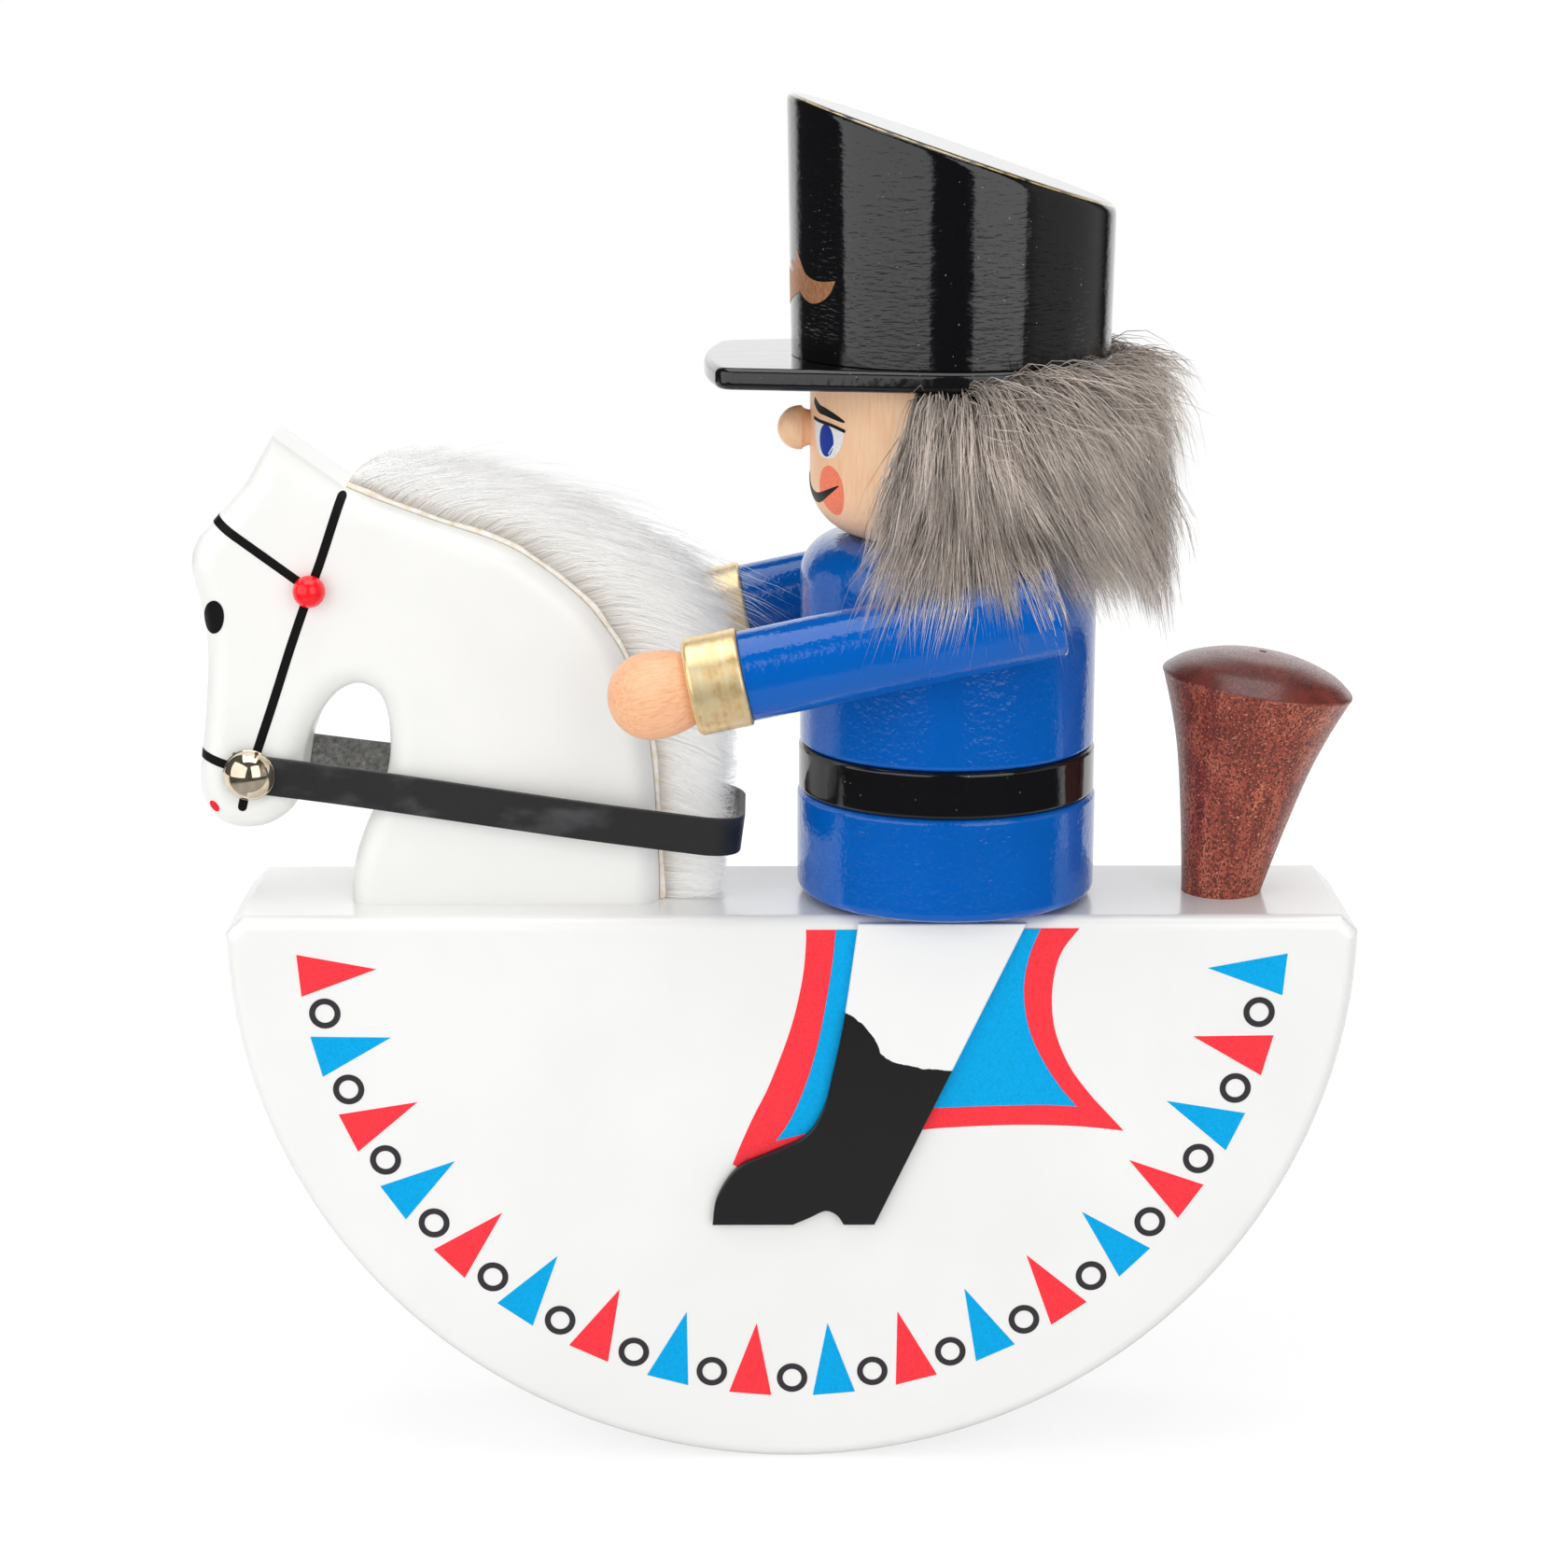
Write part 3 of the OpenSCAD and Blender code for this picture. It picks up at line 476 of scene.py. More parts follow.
# Coat tails: the rider's coat runs on down both faces of the rocker as a print, cyan with a
# red hem. The cut-out leg covers its middle. Places are given from the deck.
tail_red_outline = [
    (2.11, -1.9), (2.12, -3.8), (1.8, -8.2), (1.0, -12.9), (-0.3, -18.1), (-2.1, -23.3),
    (-4.0, -28.1), (-6.0, -32.2), (-7.8, -36.3), (-9.4, -40.3), (-6, -42), (10, -36), (14, -1.9),
]
tail_blue_outline = [
    (6.74, -1.9), (6.2, -7.4), (5.2, -14.0), (4.1, -19.9), (2.5, -25.9), (0.7, -30.7),
    (-1.0, -34.1), (-2.6, -36.4), (-0.3, -35.8), (2.0, -35.2), (8, -33), (14, -1.9),
]
flap_red_outline = [
    (30, -1.7), (20.2, -30), (17, -34.8), (20.2, -34.6), (24.9, -34.2), (34.6, -33.8),
    (44.3, -34.0), (52.1, -34.8), (47.1, -29.3), (43.7, -24.7), (41.4, -19.6), (40.5, -15.0),
    (40.6, -10.0), (41.8, -5.5), (44.5, -1.7),
]
flap_blue_outline = [
    (30, -1.75), (20.2, -26), (18, -31.2), (22.2, -31.0), (29.7, -30.7), (39.4, -30.5),
    (44.7, -30.8), (42.3, -28.0), (39.8, -24.2), (37.5, -19.6), (36.3, -15.0), (36.1, -10.0),
    (37.0, -5.5), (38.5, -1.75),
]


def smooth(points, steps):
    """A curve through points: between two of them a cubic whose slope at each is half the way from
    the point before to the point after."""
    points = np.asarray(points, float)
    last = len(points) - 1
    at = np.arange(last)
    a, b = points[np.maximum(at - 1, 0), None], points[at, None]
    c, d = points[at + 1, None], points[np.minimum(at + 2, last), None]
    t = (np.arange(steps) / steps)[None, :, None]
    curve = 0.5 * (
        2 * b + (c - a) * t + (2 * a - 5 * b + 4 * c - d) * t ** 2 + (3 * b - a - 3 * c + d) * t ** 3
    )
    return np.concatenate([curve.reshape(-1, points.shape[1]), points[-1:]])


def rounded_runs(outline, *runs):
    """The outline with each run of points (first, last) made a smooth curve, the rest left straight."""
    pieces, at = [], 0
    for first, last in runs:
        pieces += [outline[at:first], smooth(outline[first:last + 1], 6)]
        at = last + 1
    return np.concatenate([np.asarray(p, float).reshape(-1, 2) for p in pieces + [outline[at:]]])


for name, finish, tail, tail_run, flap, flap_runs, proud in (
    ("coat_tails_red", print_red, tail_red_outline, (0, 9),
     flap_red_outline, ((3, 7), (8, 14)), paint_proud),
    ("coat_tails_blue", print_blue, tail_blue_outline, (0, 7),
     flap_blue_outline, ((3, 6), (7, 13)), 1.5 * paint_proud),
):
    outlines = (rounded_runs(tail, tail_run), rounded_runs(flap, *flap_runs))
    prints = [printed(line + (0, deck_z), side, proud) for line in outlines for side in (-1, 1)]
    add_piece(name, joined(*prints), finish)


# Counterweight: a steel slug low in the rocker, closed with a wooden plug that is sprayed
# over with the sole. Only the plug's rim can be found on the sole.
plug_r = 12.0
plug_angle = 18.6
plug_proud = 0.03
plug_sunk = 0.2
plug_rings = 8
plug_segments = 96


def repaint(node, finish):
    """Gives a CAD node that stays its own finish."""
    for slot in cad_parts[node].material_slots:
        slot.material = finish.material


def plug_face():
    """A disc laid on the sole: a point at (u, v) from its middle lies sqrt(R^2 - u^2) from the
    circle's axis, where R is the sole's radius, and the rim dips under the lacquer."""
    share = np.concatenate([[0], np.linspace(0, 1, plug_rings + 1)])[:, None]
    turn = np.linspace(0, 2 * pi, plug_segments, endpoint=False)[None, :]
    u, v = plug_r * share * np.cos(turn), plug_r * share * np.sin(turn)
    radius = rocker_r + plug_proud - plug_sunk * share ** 12
    radius[0] = rocker_r - 2
    depth = np.sqrt(radius ** 2 - u ** 2)
    lean = radians(plug_angle)
    x = u * cos(lean) - depth * sin(lean)
    z = rocker_r - depth * cos(lean) - u * sin(lean)
    points = np.stack([x, np.broadcast_to(v, x.shape), z], axis=-1).reshape(-1, 3)
    rows = len(share)
    under = [(rows - 1) * plug_segments + i for i in range(plug_segments)]
    return points, grid_faces(rows, plug_segments, loop=True) + [under]


turned_steel = Finish("turned_steel", metallic=1.0, roughness=0.35)
turned_steel.colour(
    turned_steel.noise(1.5, 3, stretch=(1, 1, 0.1)),
    (0.3, (0.36, 0.36, 0.38)), (0.7, (0.52, 0.52, 0.55)),
)
repaint("counterweight", turned_steel)
add_piece("sole_plug", plug_face(), white_lacquer, "weight_plug")


# Legs: two cut-outs of thin plywood, glued on the faces. The trousers are white, and the
# boot is brushed on in black gloss with a slightly ragged top.
rider_x = 24.4
leg_top = deck_z - 0.6
leg_t = 1.5
leg_edge = 0.35
boot_low = -25.0
boot_high = -14.0
boot_ragged = 0.9
boot_top = [
    (7.0, -14.6), (8.1, -14.9), (9.5, -15.6), (11.1, -16.9), (12.3, -18.4), (13.2, -19.9),
    (13.7, -21.3), (14.8, -22.4), (16.6, -23.2), (20.5, -24.0), (24.7, -24.4), (27.0, -24.5),
]
leg_front = [
    (-14.2, 0), (-16.3, -15.2), (-18.1, -24.3), (-19.6, -30.2), (-22.4, -34.6), (-27.8, -37.3),
    (-33, -39.8), (-36.2, -44.6), (-37.0, -49.4),
]
heel_arch = [(-24.3, -49.4), (-21.6, -48.2), (-19.2, -47.1), (-17.4, -47.8), (-16.3, -49.4)]

leg_paint = Finish("leg_paint", roughness=0.22)
leg_x, _, leg_z = leg_paint.axes()
boot_from = boot_top[0][0]
boot_wide = boot_top[-1][0] - boot_from
boot_tall = boot_high - boot_low
boot_stops = [((x - boot_from) / boot_wide, (z - boot_low) / boot_tall) for x, z in boot_top]
boot_line = leg_paint.ramp((leg_x - boot_from) / boot_wide, *boot_stops)
boot_level = leg_paint.node("ShaderNodeRGBToBW", {"Color": boot_line}) * boot_tall + boot_low
ragged = (leg_paint.noise(1.6, 4) - 0.5) * boot_ragged
boot = leg_paint.step(boot_level + ragged - (leg_z - deck_z), -0.06, 0.06)
leg_paint.dress(
    base_color=leg_paint.mixed(boot, (0.87, 0.87, 0.86), (0.008, 0.008, 0.009)),
    roughness=0.3 - boot * 0.1,
)
leg_paint.emboss(leg_paint.noise(0.9, 3) * 0.6 + boot * 0.4, 0.03)

leg_outline = np.concatenate([
    smooth(leg_front, 8), smooth(heel_arch, 6), [(-11.4, -49.4), (11.8, 0)]
])
for side, name in ((-1, "left"), (1, "right")):
    points, faces = board(leg_outline, leg_t, leg_edge, steps=3)
    points += (rider_x, side * (rocker_face + leg_t / 2), leg_top)
    add_piece(f"leg_{name}_cutout", (points, faces), leg_paint, f"leg_{name}")


# Horse: head and neck are one board, its edges rounded over broadly, in white satin lacquer.
# Two dowels hold its foot on the deck. Places are given from the foot's back corner.
horse_back_x = -20.9
horse_t = 18.0
horse_edge = 4.0
ear_tip = (-58.5, 73.6)
face_line = [
    (-62.7, 66.4), (-67.6, 60.8), (-70.6, 57.4), (-71.6, 53.2), (-70.2, 47), (-69.6, 40),
    (-70.3, 30.5), (-71.5, 20.5), (-70.9, 16.2), (-68.5, 13), (-64.6, 11.9), (-60.3, 12.8),
    (-56.6, 15.9), (-55.7, 20.6), (-54.7, 25.4), (-52.6, 30), (-49.6, 33.6), (-46.4, 34.9),
    (-43.5, 33.6), (-42.1, 30.2), (-41.8, 24), (-43.1, 18.2), (-45.7, 12.6), (-47.5, 7.6),
    (-48.3, 3.2), (-48.4, 0),
]
crest_line = [
    (0, 0), (0, 5), (-0.3, 12), (-0.7, 20), (-1.5, 26.7), (-3.1, 33.8), (-5.5, 39.7),
    (-7.9, 43.5), (-10.6, 47.1), (-14.6, 50.8), (-19.1, 54.2), (-22.4, 56.2), (-26.5, 57.9),
    (-32.9, 60), (-38.5, 62), (-43.2, 63.8), (-47.5, 65.6),
]

on_deck = np.array([horse_back_x, deck_z])
crest = smooth(crest_line, 8) + on_deck
horse_outline = np.concatenate([crest, [ear_tip + on_deck], smooth(face_line, 8) + on_deck])
horse_lacquer = Finish("horse_lacquer", roughness=0.3, coat_weight=0.15, coat_roughness=0.15)
horse_lacquer.colour(
    horse_lacquer.noise(22, 3), (0.35, (0.845, 0.845, 0.82)), (0.65, (0.875, 0.875, 0.855))
)
horse_lacquer.emboss(horse_lacquer.noise(3, 2), 0.02)
horse = board(horse_outline, horse_t, horse_edge, steps=10, foot=True)
add_piece("horse_board", horse, horse_lacquer, "horse_head")


# Horse's paint: eyes, nostrils and the bridle's thin straps are brushed on. The straps run
# over the rounded edge and meet across the flat of the nose and the forehead. Shapes are made
# on the near side and mirrored.
strap_half_w = 0.7
nail_at = np.array([-84.1, 111.9])
bead_at = np.array([-73.9, 140.7])
stroke_columns = 5


def horse_skin(flat, lift):
    """Places flat points of (x, z) on the head board, raised by lift: at a distance d inside the
    outline, within the rounded edge r, they lie at t/2 - r + sqrt(r^2 - (r - d)^2) across Y. Past the
    outline they run on over the flat of the edge, straight across."""
    way = np.roll(horse_outline, -1, axis=0) - horse_outline
    share = ((flat[:, None] - horse_outline) * way).sum(-1) / (way ** 2).sum(-1)
    foot = horse_outline + np.clip(share, 0, 1)[..., None] * way
    nearest = np.linalg.norm(flat[:, None] - foot, axis=-1).argmin(axis=1)
    foot = foot[np.arange(len(flat)), nearest]
    outward = unit(way)[nearest][:, ::-1] * (1, -1)
    inside = -((flat - foot) * outward).sum(-1)
    lean = np.clip(1 - inside / horse_edge, 0, 1)
    upright = np.sqrt(1 - lean ** 2)
    across = horse_t / 2 - horse_edge + horse_edge * upright + np.minimum(inside, 0)
    flat = np.where(inside[:, None] < 0, foot, flat) + outward * (lean * lift)[:, None]
    return with_y(flat, -(across + upright * lift))


def painted(outline, skin, lift=paint_proud, rings=6):
    """A patch of paint: its outline shrinks to its middle in even rings, once below the skin and once
    above it by lift."""
    middle = outline.mean(axis=0)
    share = np.linspace(0, 1, rings + 1)
    share = np.concatenate([share, share[::-1]])
    levels = np.repeat([-paint_deep, lift], rings + 1)
    flat = middle + share[:, None, None] * (outline - middle)
    points = skin(flat.reshape(-1, 2), np.repeat(levels, len(outline)))
    return points, grid_faces(len(share), len(outline), loop=True)


def stroke(line, half_w, skin, lift=paint_proud, meets=False):
    """A brush stroke: at each point of its middle line it reaches half_w to both sides, above the skin
    by lift and back below it. A stroke that meets its mirror image ends open, in the middle plane."""
    side = unit(np.gradient(line, axis=0))[:, ::-1] * (-1, 1)
    share = np.linspace(-1, 1, stroke_columns)
    share = np.concatenate([share, share[::-1]])
    levels = np.repeat([lift, -paint_deep], stroke_columns)
    flat = line[:, None] + side[:, None] * (np.reshape(half_w, (-1, 1)) * share)[..., None]
    points = skin(flat.reshape(-1, 2), np.tile(levels, len(line)))
    n = len(share)
    caps = end_faces(len(line), n)
    if meets:
        points[-n:, 1] = 0
        caps = caps[:1]
    return points, grid_faces(len(line), n, loop=True) + caps


def run_of(line):
    """The length run along a line at each of its points."""
    return np.concatenate([[0], np.cumsum(np.linalg.norm(np.diff(line, axis=0), axis=1))])


def evenly(line, count):
    """Count points on a line, closer together near both ends."""
    run = run_of(line)
    at = (1 - np.cos(np.linspace(0, pi, count))) / 2 * run[-1]
    return np.stack([np.interp(at, run, column) for column in line.T], axis=1)


def round_ends(line, half_w):
    """Half widths of a stroke with round ends: half_w sqrt(1 - (1 - d / half_w)^2) at d from an end."""
    run = run_of(line)
    gap = np.minimum(half_w, np.minimum(run, run[-1] - run))
    return half_w * np.sqrt(1 - (1 - gap / half_w) ** 2)


def oval(middle, width, height, tilt=0, count=40):
    """Points of an oval, turned by tilt degrees."""
    a = np.linspace(0, 2 * pi, count, endpoint=False)
    flat = np.stack([width / 2 * np.cos(a), height / 2 * np.sin(a)], axis=1)
    t = radians(tilt)
    return middle + flat @ np.array([[cos(t), sin(t)], [-sin(t), cos(t)]])


def both_sides(*shapes):
    """Shapes and their mirror images on the other side of the middle plane, joined."""
    return joined(*shapes, *[(points * (1, -1, 1), faces) for points, faces in shapes])


def over_the_edge(start, aim):
    """A line from start towards aim, as far as the outline, then on past it to the middle plane. Near
    the outline its points crowd together, as the rounded edge turns down there."""
    way = unit(np.array(aim) - start)
    corner, beyond = horse_outline - start, np.roll(horse_outline, -1, axis=0) - start
    miss, miss_beyond = corner @ (-way[1], way[0]), beyond @ (-way[1], way[0])
    ahead = (corner + (beyond - corner) * (miss / (miss - miss_beyond))[:, None]) @ way
    length = ahead[(miss * miss_beyond < 0) & (ahead > 0)].min()
    left = np.concatenate([
        np.linspace(length, horse_edge, 16)[:-1],
        horse_edge * (1 - np.cos(np.linspace(pi / 2, 0, 14))),
        -np.linspace(0.04, 1, 12) * (horse_t / 2 - horse_edge),
    ])
    return start + (length - left[:, None]) * way


horse_black = paint_finish("horse_black", (0.009, 0.008, 0.008), 0.45)
nostril_red = paint_finish("nostril_red", (0.85, 0.02, 0.03), 0.4)
cheek_strap = evenly(smooth([
    (-68.5, 65.2 + deck_z), (-70.2, 60.3 + deck_z), (-72.2, 54.6 + deck_z), bead_at,
    (-77.0, 41.8 + deck_z), (-80.2, 32.5 + deck_z), nail_at, (-85.7, 15.3 + deck_z),
], 8), 90)
straps = [stroke(cheek_strap, round_ends(cheek_strap, strap_half_w), horse_skin)]
for start, aim in ((bead_at, (-87.9, 60.6 + deck_z)), (nail_at, (-92.0, 24.2 + deck_z))):
    band = over_the_edge(start, aim)
    straps.append(stroke(band, np.full(len(band), strap_half_w), horse_skin, meets=True))
add_piece("bridle_straps", both_sides(*straps), horse_black)
eye = painted(oval((-88.9, 45.9 + deck_z), 3.3, 5.3, tilt=-8), horse_skin, lift=0.1)
add_piece("horse_eyes", both_sides(eye), horse_black)
nostril = painted(oval((-90.0, 15.9 + deck_z), 1.3, 2.0, tilt=35), horse_skin, lift=0.08)
add_piece("nostrils", both_sides(nostril), nostril_red)


# Beads: two red balls with a small flat, glued by it on the cheeks where the bridle's straps
# cross. Here each is a whole ball, sunk into the board as far as its flat.
bead_r = 2.5
bead_sunk = 1.12
bead_y = horse_t / 2 + bead_r - bead_sunk


def turned(profile, segments=96):
    """A turned piece: each (r, z) of the profile goes round the Z axis as (r cos a, r sin a, z)."""
    r, z = np.asarray(profile, float).T[..., None]
    a = np.linspace(0, 2 * pi, segments, endpoint=False)
    points = np.stack(
        [r * np.cos(a), r * np.sin(a), np.broadcast_to(z, (len(r), segments))], axis=-1
    )
    return points.reshape(-1, 3), grid_faces(len(r), segments, loop=True)


def leaned(shape, lean, at):
    """A shape turned about Y, its Z axis leaning by lean degrees towards X, then moved to a place."""
    points, faces = shape
    c, s = cos(radians(lean)), sin(radians(lean))
    return points @ np.array([[c, 0, -s], [0, 1, 0], [s, 0, c]]) + at, faces


def facing(shape, at):
    """A turned shape with its Z axis towards the near side, moved to a place."""
    points, faces = shape
    return np.stack([points[:, 0], -points[:, 2], points[:, 1]], axis=1) + at, faces


bead_red = Finish("bead_red", roughness=0.18)
bead_red.colour(bead_red.noise(2, 2), (0.3, (0.88, 0.006, 0.012)), (0.7, (0.97, 0.012, 0.022)))
bead = facing(turned(arc((0, 0), bead_r, -90, 90, 24), 48), (bead_at[0], -bead_y, bead_at[1]))
add_piece("red_beads", both_sides(bead), bead_red, "bridle_beads")


# Nails: upholstery nails with domed heads, of pale polished brass. They are driven through
# the rein's ends into the cheeks, and the ends turn on their shanks.
nail_r = 4.0
nail_dome = 3.2
nail_rim = 0.3
nail_seat = horse_t / 2 + 1.2
shank_r = 0.8
shank_len = 7.0

brass = Finish("pale_brass", metallic=0.94)
brass.colour(brass.noise(1.5, 3), (0.35, (0.74, 0.62, 0.46)), (0.65, (0.84, 0.73, 0.56)))
brass.dress(roughness=0.03 + brass.noise(0.7, 3) * 0.07)
dome_r = (nail_r ** 2 + nail_dome ** 2) / (2 * nail_dome)
dome_turn = degrees(atan2(dome_r - nail_dome, nail_r))
nail_profile = np.concatenate([
    [(0, -shank_len - 1.2), (0.25, -shank_len - 0.8), (shank_r, -shank_len + 0.4)],
    [(shank_r, 0), (3.5, 0)],
    arc((nail_r - nail_rim, nail_rim), nail_rim, -90, 0, 4),
    arc((0, nail_dome - dome_r), dome_r, dome_turn, 90, 24)[2:],
])
nail = facing(turned(nail_profile, 64), (nail_at[0], -nail_seat, nail_at[1]))
add_piece("domed_nails", both_sides(nail), brass, "cheek_nails")


# Rein: one strap of thin leather, black and smooth outside, grey suede inside. It runs round
# the back of the neck, and both its ends are pierced by the nails.
rein_w = 6.0
rein_t = 1.0
rein_y = 9.6
rein_half = 12.3
rein_len = 76.6
rein_bend_r = 6.0
rein_slope = 7.6
rein_swing = (-10, 5)
rein_corner = 0.22

flare = np.linspace(0, 1, 40)
flared_y = rein_y + (rein_half - rein_y) * flare ** 2 * (3 - 2 * flare)
rein_line = np.concatenate([
    [(-2.9, rein_y), (0, rein_y), (4, rein_y)],
    np.stack([9 + 50 * flare, flared_y], axis=1),
    np.linspace((61, rein_half), (69, rein_half), 6),
    arc((rein_len - rein_bend_r, rein_half - rein_bend_r), rein_bend_r, 90, 0, 14),
    np.linspace((rein_len, 4), (rein_len, 0), 4),
])
rein_line = np.concatenate([rein_line, (rein_line * (1, -1))[-2::-1]])


def strap(line, width, thickness, corner):
    """A strap on edge: across its line in the plan it is a rectangle with rounded corners."""
    out = unit(np.gradient(line, axis=0))[:, ::-1] * (-1, 1)
    n, z = thickness / 2 - corner, width / 2 - corner
    ring = np.concatenate([
        arc((side_n * n, side_z * z), corner, start, start + 90, 3)
        for side_n, side_z, start in ((1, 1, 0), (-1, 1, 90), (-1, -1, 180), (1, -1, 270))
    ])
    plan = line[:, None] + out[:, None] * ring[None, :, :1]
    levels = np.broadcast_to(ring[:, 1:], (len(line), len(ring), 1))
    points = np.concatenate([plan, levels], axis=-1).reshape(-1, 3)
    faces = grid_faces(len(line), len(ring), loop=True) + end_faces(len(line), len(ring))
    return points, faces


black_leather = Finish("black_leather")
worn = black_leather.step(black_leather.noise(14, 4, stretch=(1, 1, 0.5)), 0.52, 0.72)
leather_grain = black_leather.noise(0.5, 4)
paler = worn * 0.8 + leather_grain * 0.1
black_leather.dress(
    base_color=black_leather.mixed(paler, (0.012, 0.012, 0.013), (0.07, 0.07, 0.075)),
    roughness=0.5 - worn * 0.12,
)
black_leather.emboss(leather_grain, 0.05)
grey_suede = Finish("grey_suede", roughness=0.95)
grey_suede.colour(
    grey_suede.noise(0.8, 5, roughness=0.7),
    (0.32, (0.1, 0.1, 0.097)), (0.6, (0.28, 0.277, 0.266)), (0.75, (0.5, 0.5, 0.48)),
)
grey_suede.emboss(grey_suede.noise(0.4, 4), 0.15)
rein = leaned(strap(rein_line, rein_w, rein_t, rein_corner), rein_slope, (nail_at[0], 0, nail_at[1]))
rein = add_piece("rein_strap", rein, black_leather, "rein", body="rein", sharp=60)

# The faces that look towards the middle of the loop are suede: straight across from its sides,
# and towards the middle between the bends at its back.
rein.data.materials.append(grey_suede.material)
polygons = rein.data.polygons
centres, normals = np.empty((2, len(polygons) * 3), np.float32)
polygons.foreach_get("center", centres)
polygons.foreach_get("normal", normals)
centres, normals = centres.reshape(-1, 3)[:, :2], normals.reshape(-1, 3)[:, :2]
rein_middle = np.array([nail_at[0] + rein_len - 2 * rein_bend_r, 0]) * 0.001
toward = rein_middle - centres
toward[:, 0] *= centres[:, 0] > rein_middle[0]
inner = (normals * toward).sum(axis=1) > 0.6 * np.linalg.norm(toward, axis=1)
polygons.foreach_set("material_index", inner.astype(np.int32))


# Mane's hide: a strip of hide glued along the crest, with the fur on it. Its cut edge shows
# on both sides as a fuzzy cream line.
hide_t = 1.1
hide_half_w = 5.5
hide_bite = 0.3

cream_hide = Finish("cream_hide", roughness=0.85)
cream_hide.colour(
    cream_hide.noise(1.4, 4),
    (0.3, (0.84, 0.72, 0.56)), (0.45, (0.92, 0.85, 0.74)), (0.6, (0.94, 0.92, 0.87)),
)
cream_hide.emboss(cream_hide.noise(0.5, 4), 0.15)
station = np.arange(len(crest))
wobble = 0.07 * np.sin(station * 0.53) + 0.1 * np.sin(station * 0.21 + 1)
crest_side = unit(np.gradient(crest, axis=0))[:, ::-1] * (1, -1)
hide_back = crest + crest_side * (hide_t + wobble[:, None] - hide_bite)
hide_outline = np.concatenate([crest, hide_back[::-1]])[::-1]
hide = board(hide_outline, 2 * hide_half_w, 0.3, steps=3)
add_piece("mane_hide_strip", hide, cream_hide, "mane_hide")


# Coat: skirt and upper coat are turned beech under blue gloss lacquer, and a black gloss belt
# sits between two turned grooves. All three stand on one dowel.
skirt_r = 23.5
skirt_h = 17.2
coat_r = 23.1
coat_h = 33.0
shoulder_r = 6.5
belt_r = 23.3
belt_h = 7.4
belt_edge = 0.7
groove = 0.9
belt_z = deck_z + skirt_h
coat_z = belt_z + belt_h
neck_z = coat_z + coat_h
coat_blue = (0.0, 0.108, 0.48)

blue_lacquer = Finish(
    "blue_lacquer", roughness=0.1, specular_ior_level=0.45, coat_weight=0.2, coat_roughness=0.04
)
blue_lacquer.colour(blue_lacquer.noise(9, 3), (0.3, [c * 0.93 for c in coat_blue]), (0.7, coat_blue))
orange_peel = blue_lacquer.noise(1.5, 1, stretch=(1, 1, 0.8))
blue_lacquer.emboss(orange_peel * 0.6 + blue_lacquer.noise(0.55, 1) * 0.4, 0.13)
black_lacquer = Finish("black_lacquer", roughness=0.1, coat_weight=0.4, coat_roughness=0.05)
dust = black_lacquer.step(black_lacquer.noise(0.4, 0), 0.86, 0.88)
black_lacquer.dress(base_color=black_lacquer.mixed(dust, (0.006, 0.006, 0.007), (0.25, 0.25, 0.26)))
black_lacquer.emboss(black_lacquer.noise(1.4, 1) * 0.5 + black_lacquer.noise(4, 1) * 0.5, 0.07)


def drum(r, low, high, low_edge, high_edge, low_steps=8, high_steps=8, between=()):
    """The profile of a solid drum from low to high along its axis, both its rims rounded."""
    return np.concatenate([
        [(0, low)],
        arc((r - low_edge, low + low_edge), low_edge, -90, 0, low_steps),
        np.reshape(between, (-1, 2)),
        arc((r - high_edge, high - high_edge), high_edge, 0, 90, high_steps),
        [(0, high)],
    ])


def rider_turned(profile, z):
    """A turned piece on the rider's axis, its foot at z."""
    points, faces = turned(profile, 160)
    return points + (rider_x, 0, z), faces


skirt_profile = np.concatenate([
    [(0, 0), (18.2, 0), (18.6, 0.1), (21.6, 0.9)],
    arc((skirt_r - 1.6, 2.4), 1.6, -60, 0, 8),
    arc((skirt_r - groove, skirt_h - groove), groove, 0, 90, 8),
    [(9, skirt_h), (0, skirt_h)],
])
belt_profile = drum(belt_r, 0, belt_h, belt_edge, belt_edge)
coat_profile = drum(coat_r, 0, coat_h, groove, shoulder_r, high_steps=20)
add_piece(
    "skirt_turned", rider_turned(skirt_profile, deck_z), blue_lacquer, "coat_skirt"
)
add_piece("belt_turned", rider_turned(belt_profile, belt_z), black_lacquer, "belt")
add_piece("coat_turned", rider_turned(coat_profile, coat_z), blue_lacquer, "coat_body")


# Arms: a turned sleeve, a gold cuff and a ball hand on one axis, glued against the coat. Each
# arm's profile starts in the middle of its hand and runs up to the shoulder.
sleeve_r = 6.8
cuff_r = 7.4
cuff_len = 8.3
cuff_waist = 0.06
hand_r = 6.6
hand_neck = 5.9
hand_stretch = 10.3
arm_len = 61.8
arm_angle = 12.0
arm_y = 28.4
shoulder_at = np.array([39.4, 141.1])
arm_slope = np.array([cos(radians(arm_angle)), sin(radians(arm_angle))])
hand_at = shoulder_at - arm_len * arm_slope
arm_lean = 90 - arm_angle
sleeve_from = hand_neck + cuff_len


def clear_wood(name, roughness, grain_size, grain_len, detail, cloud_size, depth, stops, lean=0):
    """Pale turned wood under clear satin lacquer: fine grain along its own axis, and wide clouds."""
    wood = Finish(name, roughness=roughness, subsurface_weight=0.05)
    on_axis = wood.upright(lean) if lean else None
    grain = wood.noise(grain_size, detail, on_axis, (1, 1, grain_len), roughness=0.6)
    wood.colour(grain * 0.7 + wood.noise(cloud_size, 2) * 0.3, *stops)
    wood.emboss(grain, depth)
    return wood


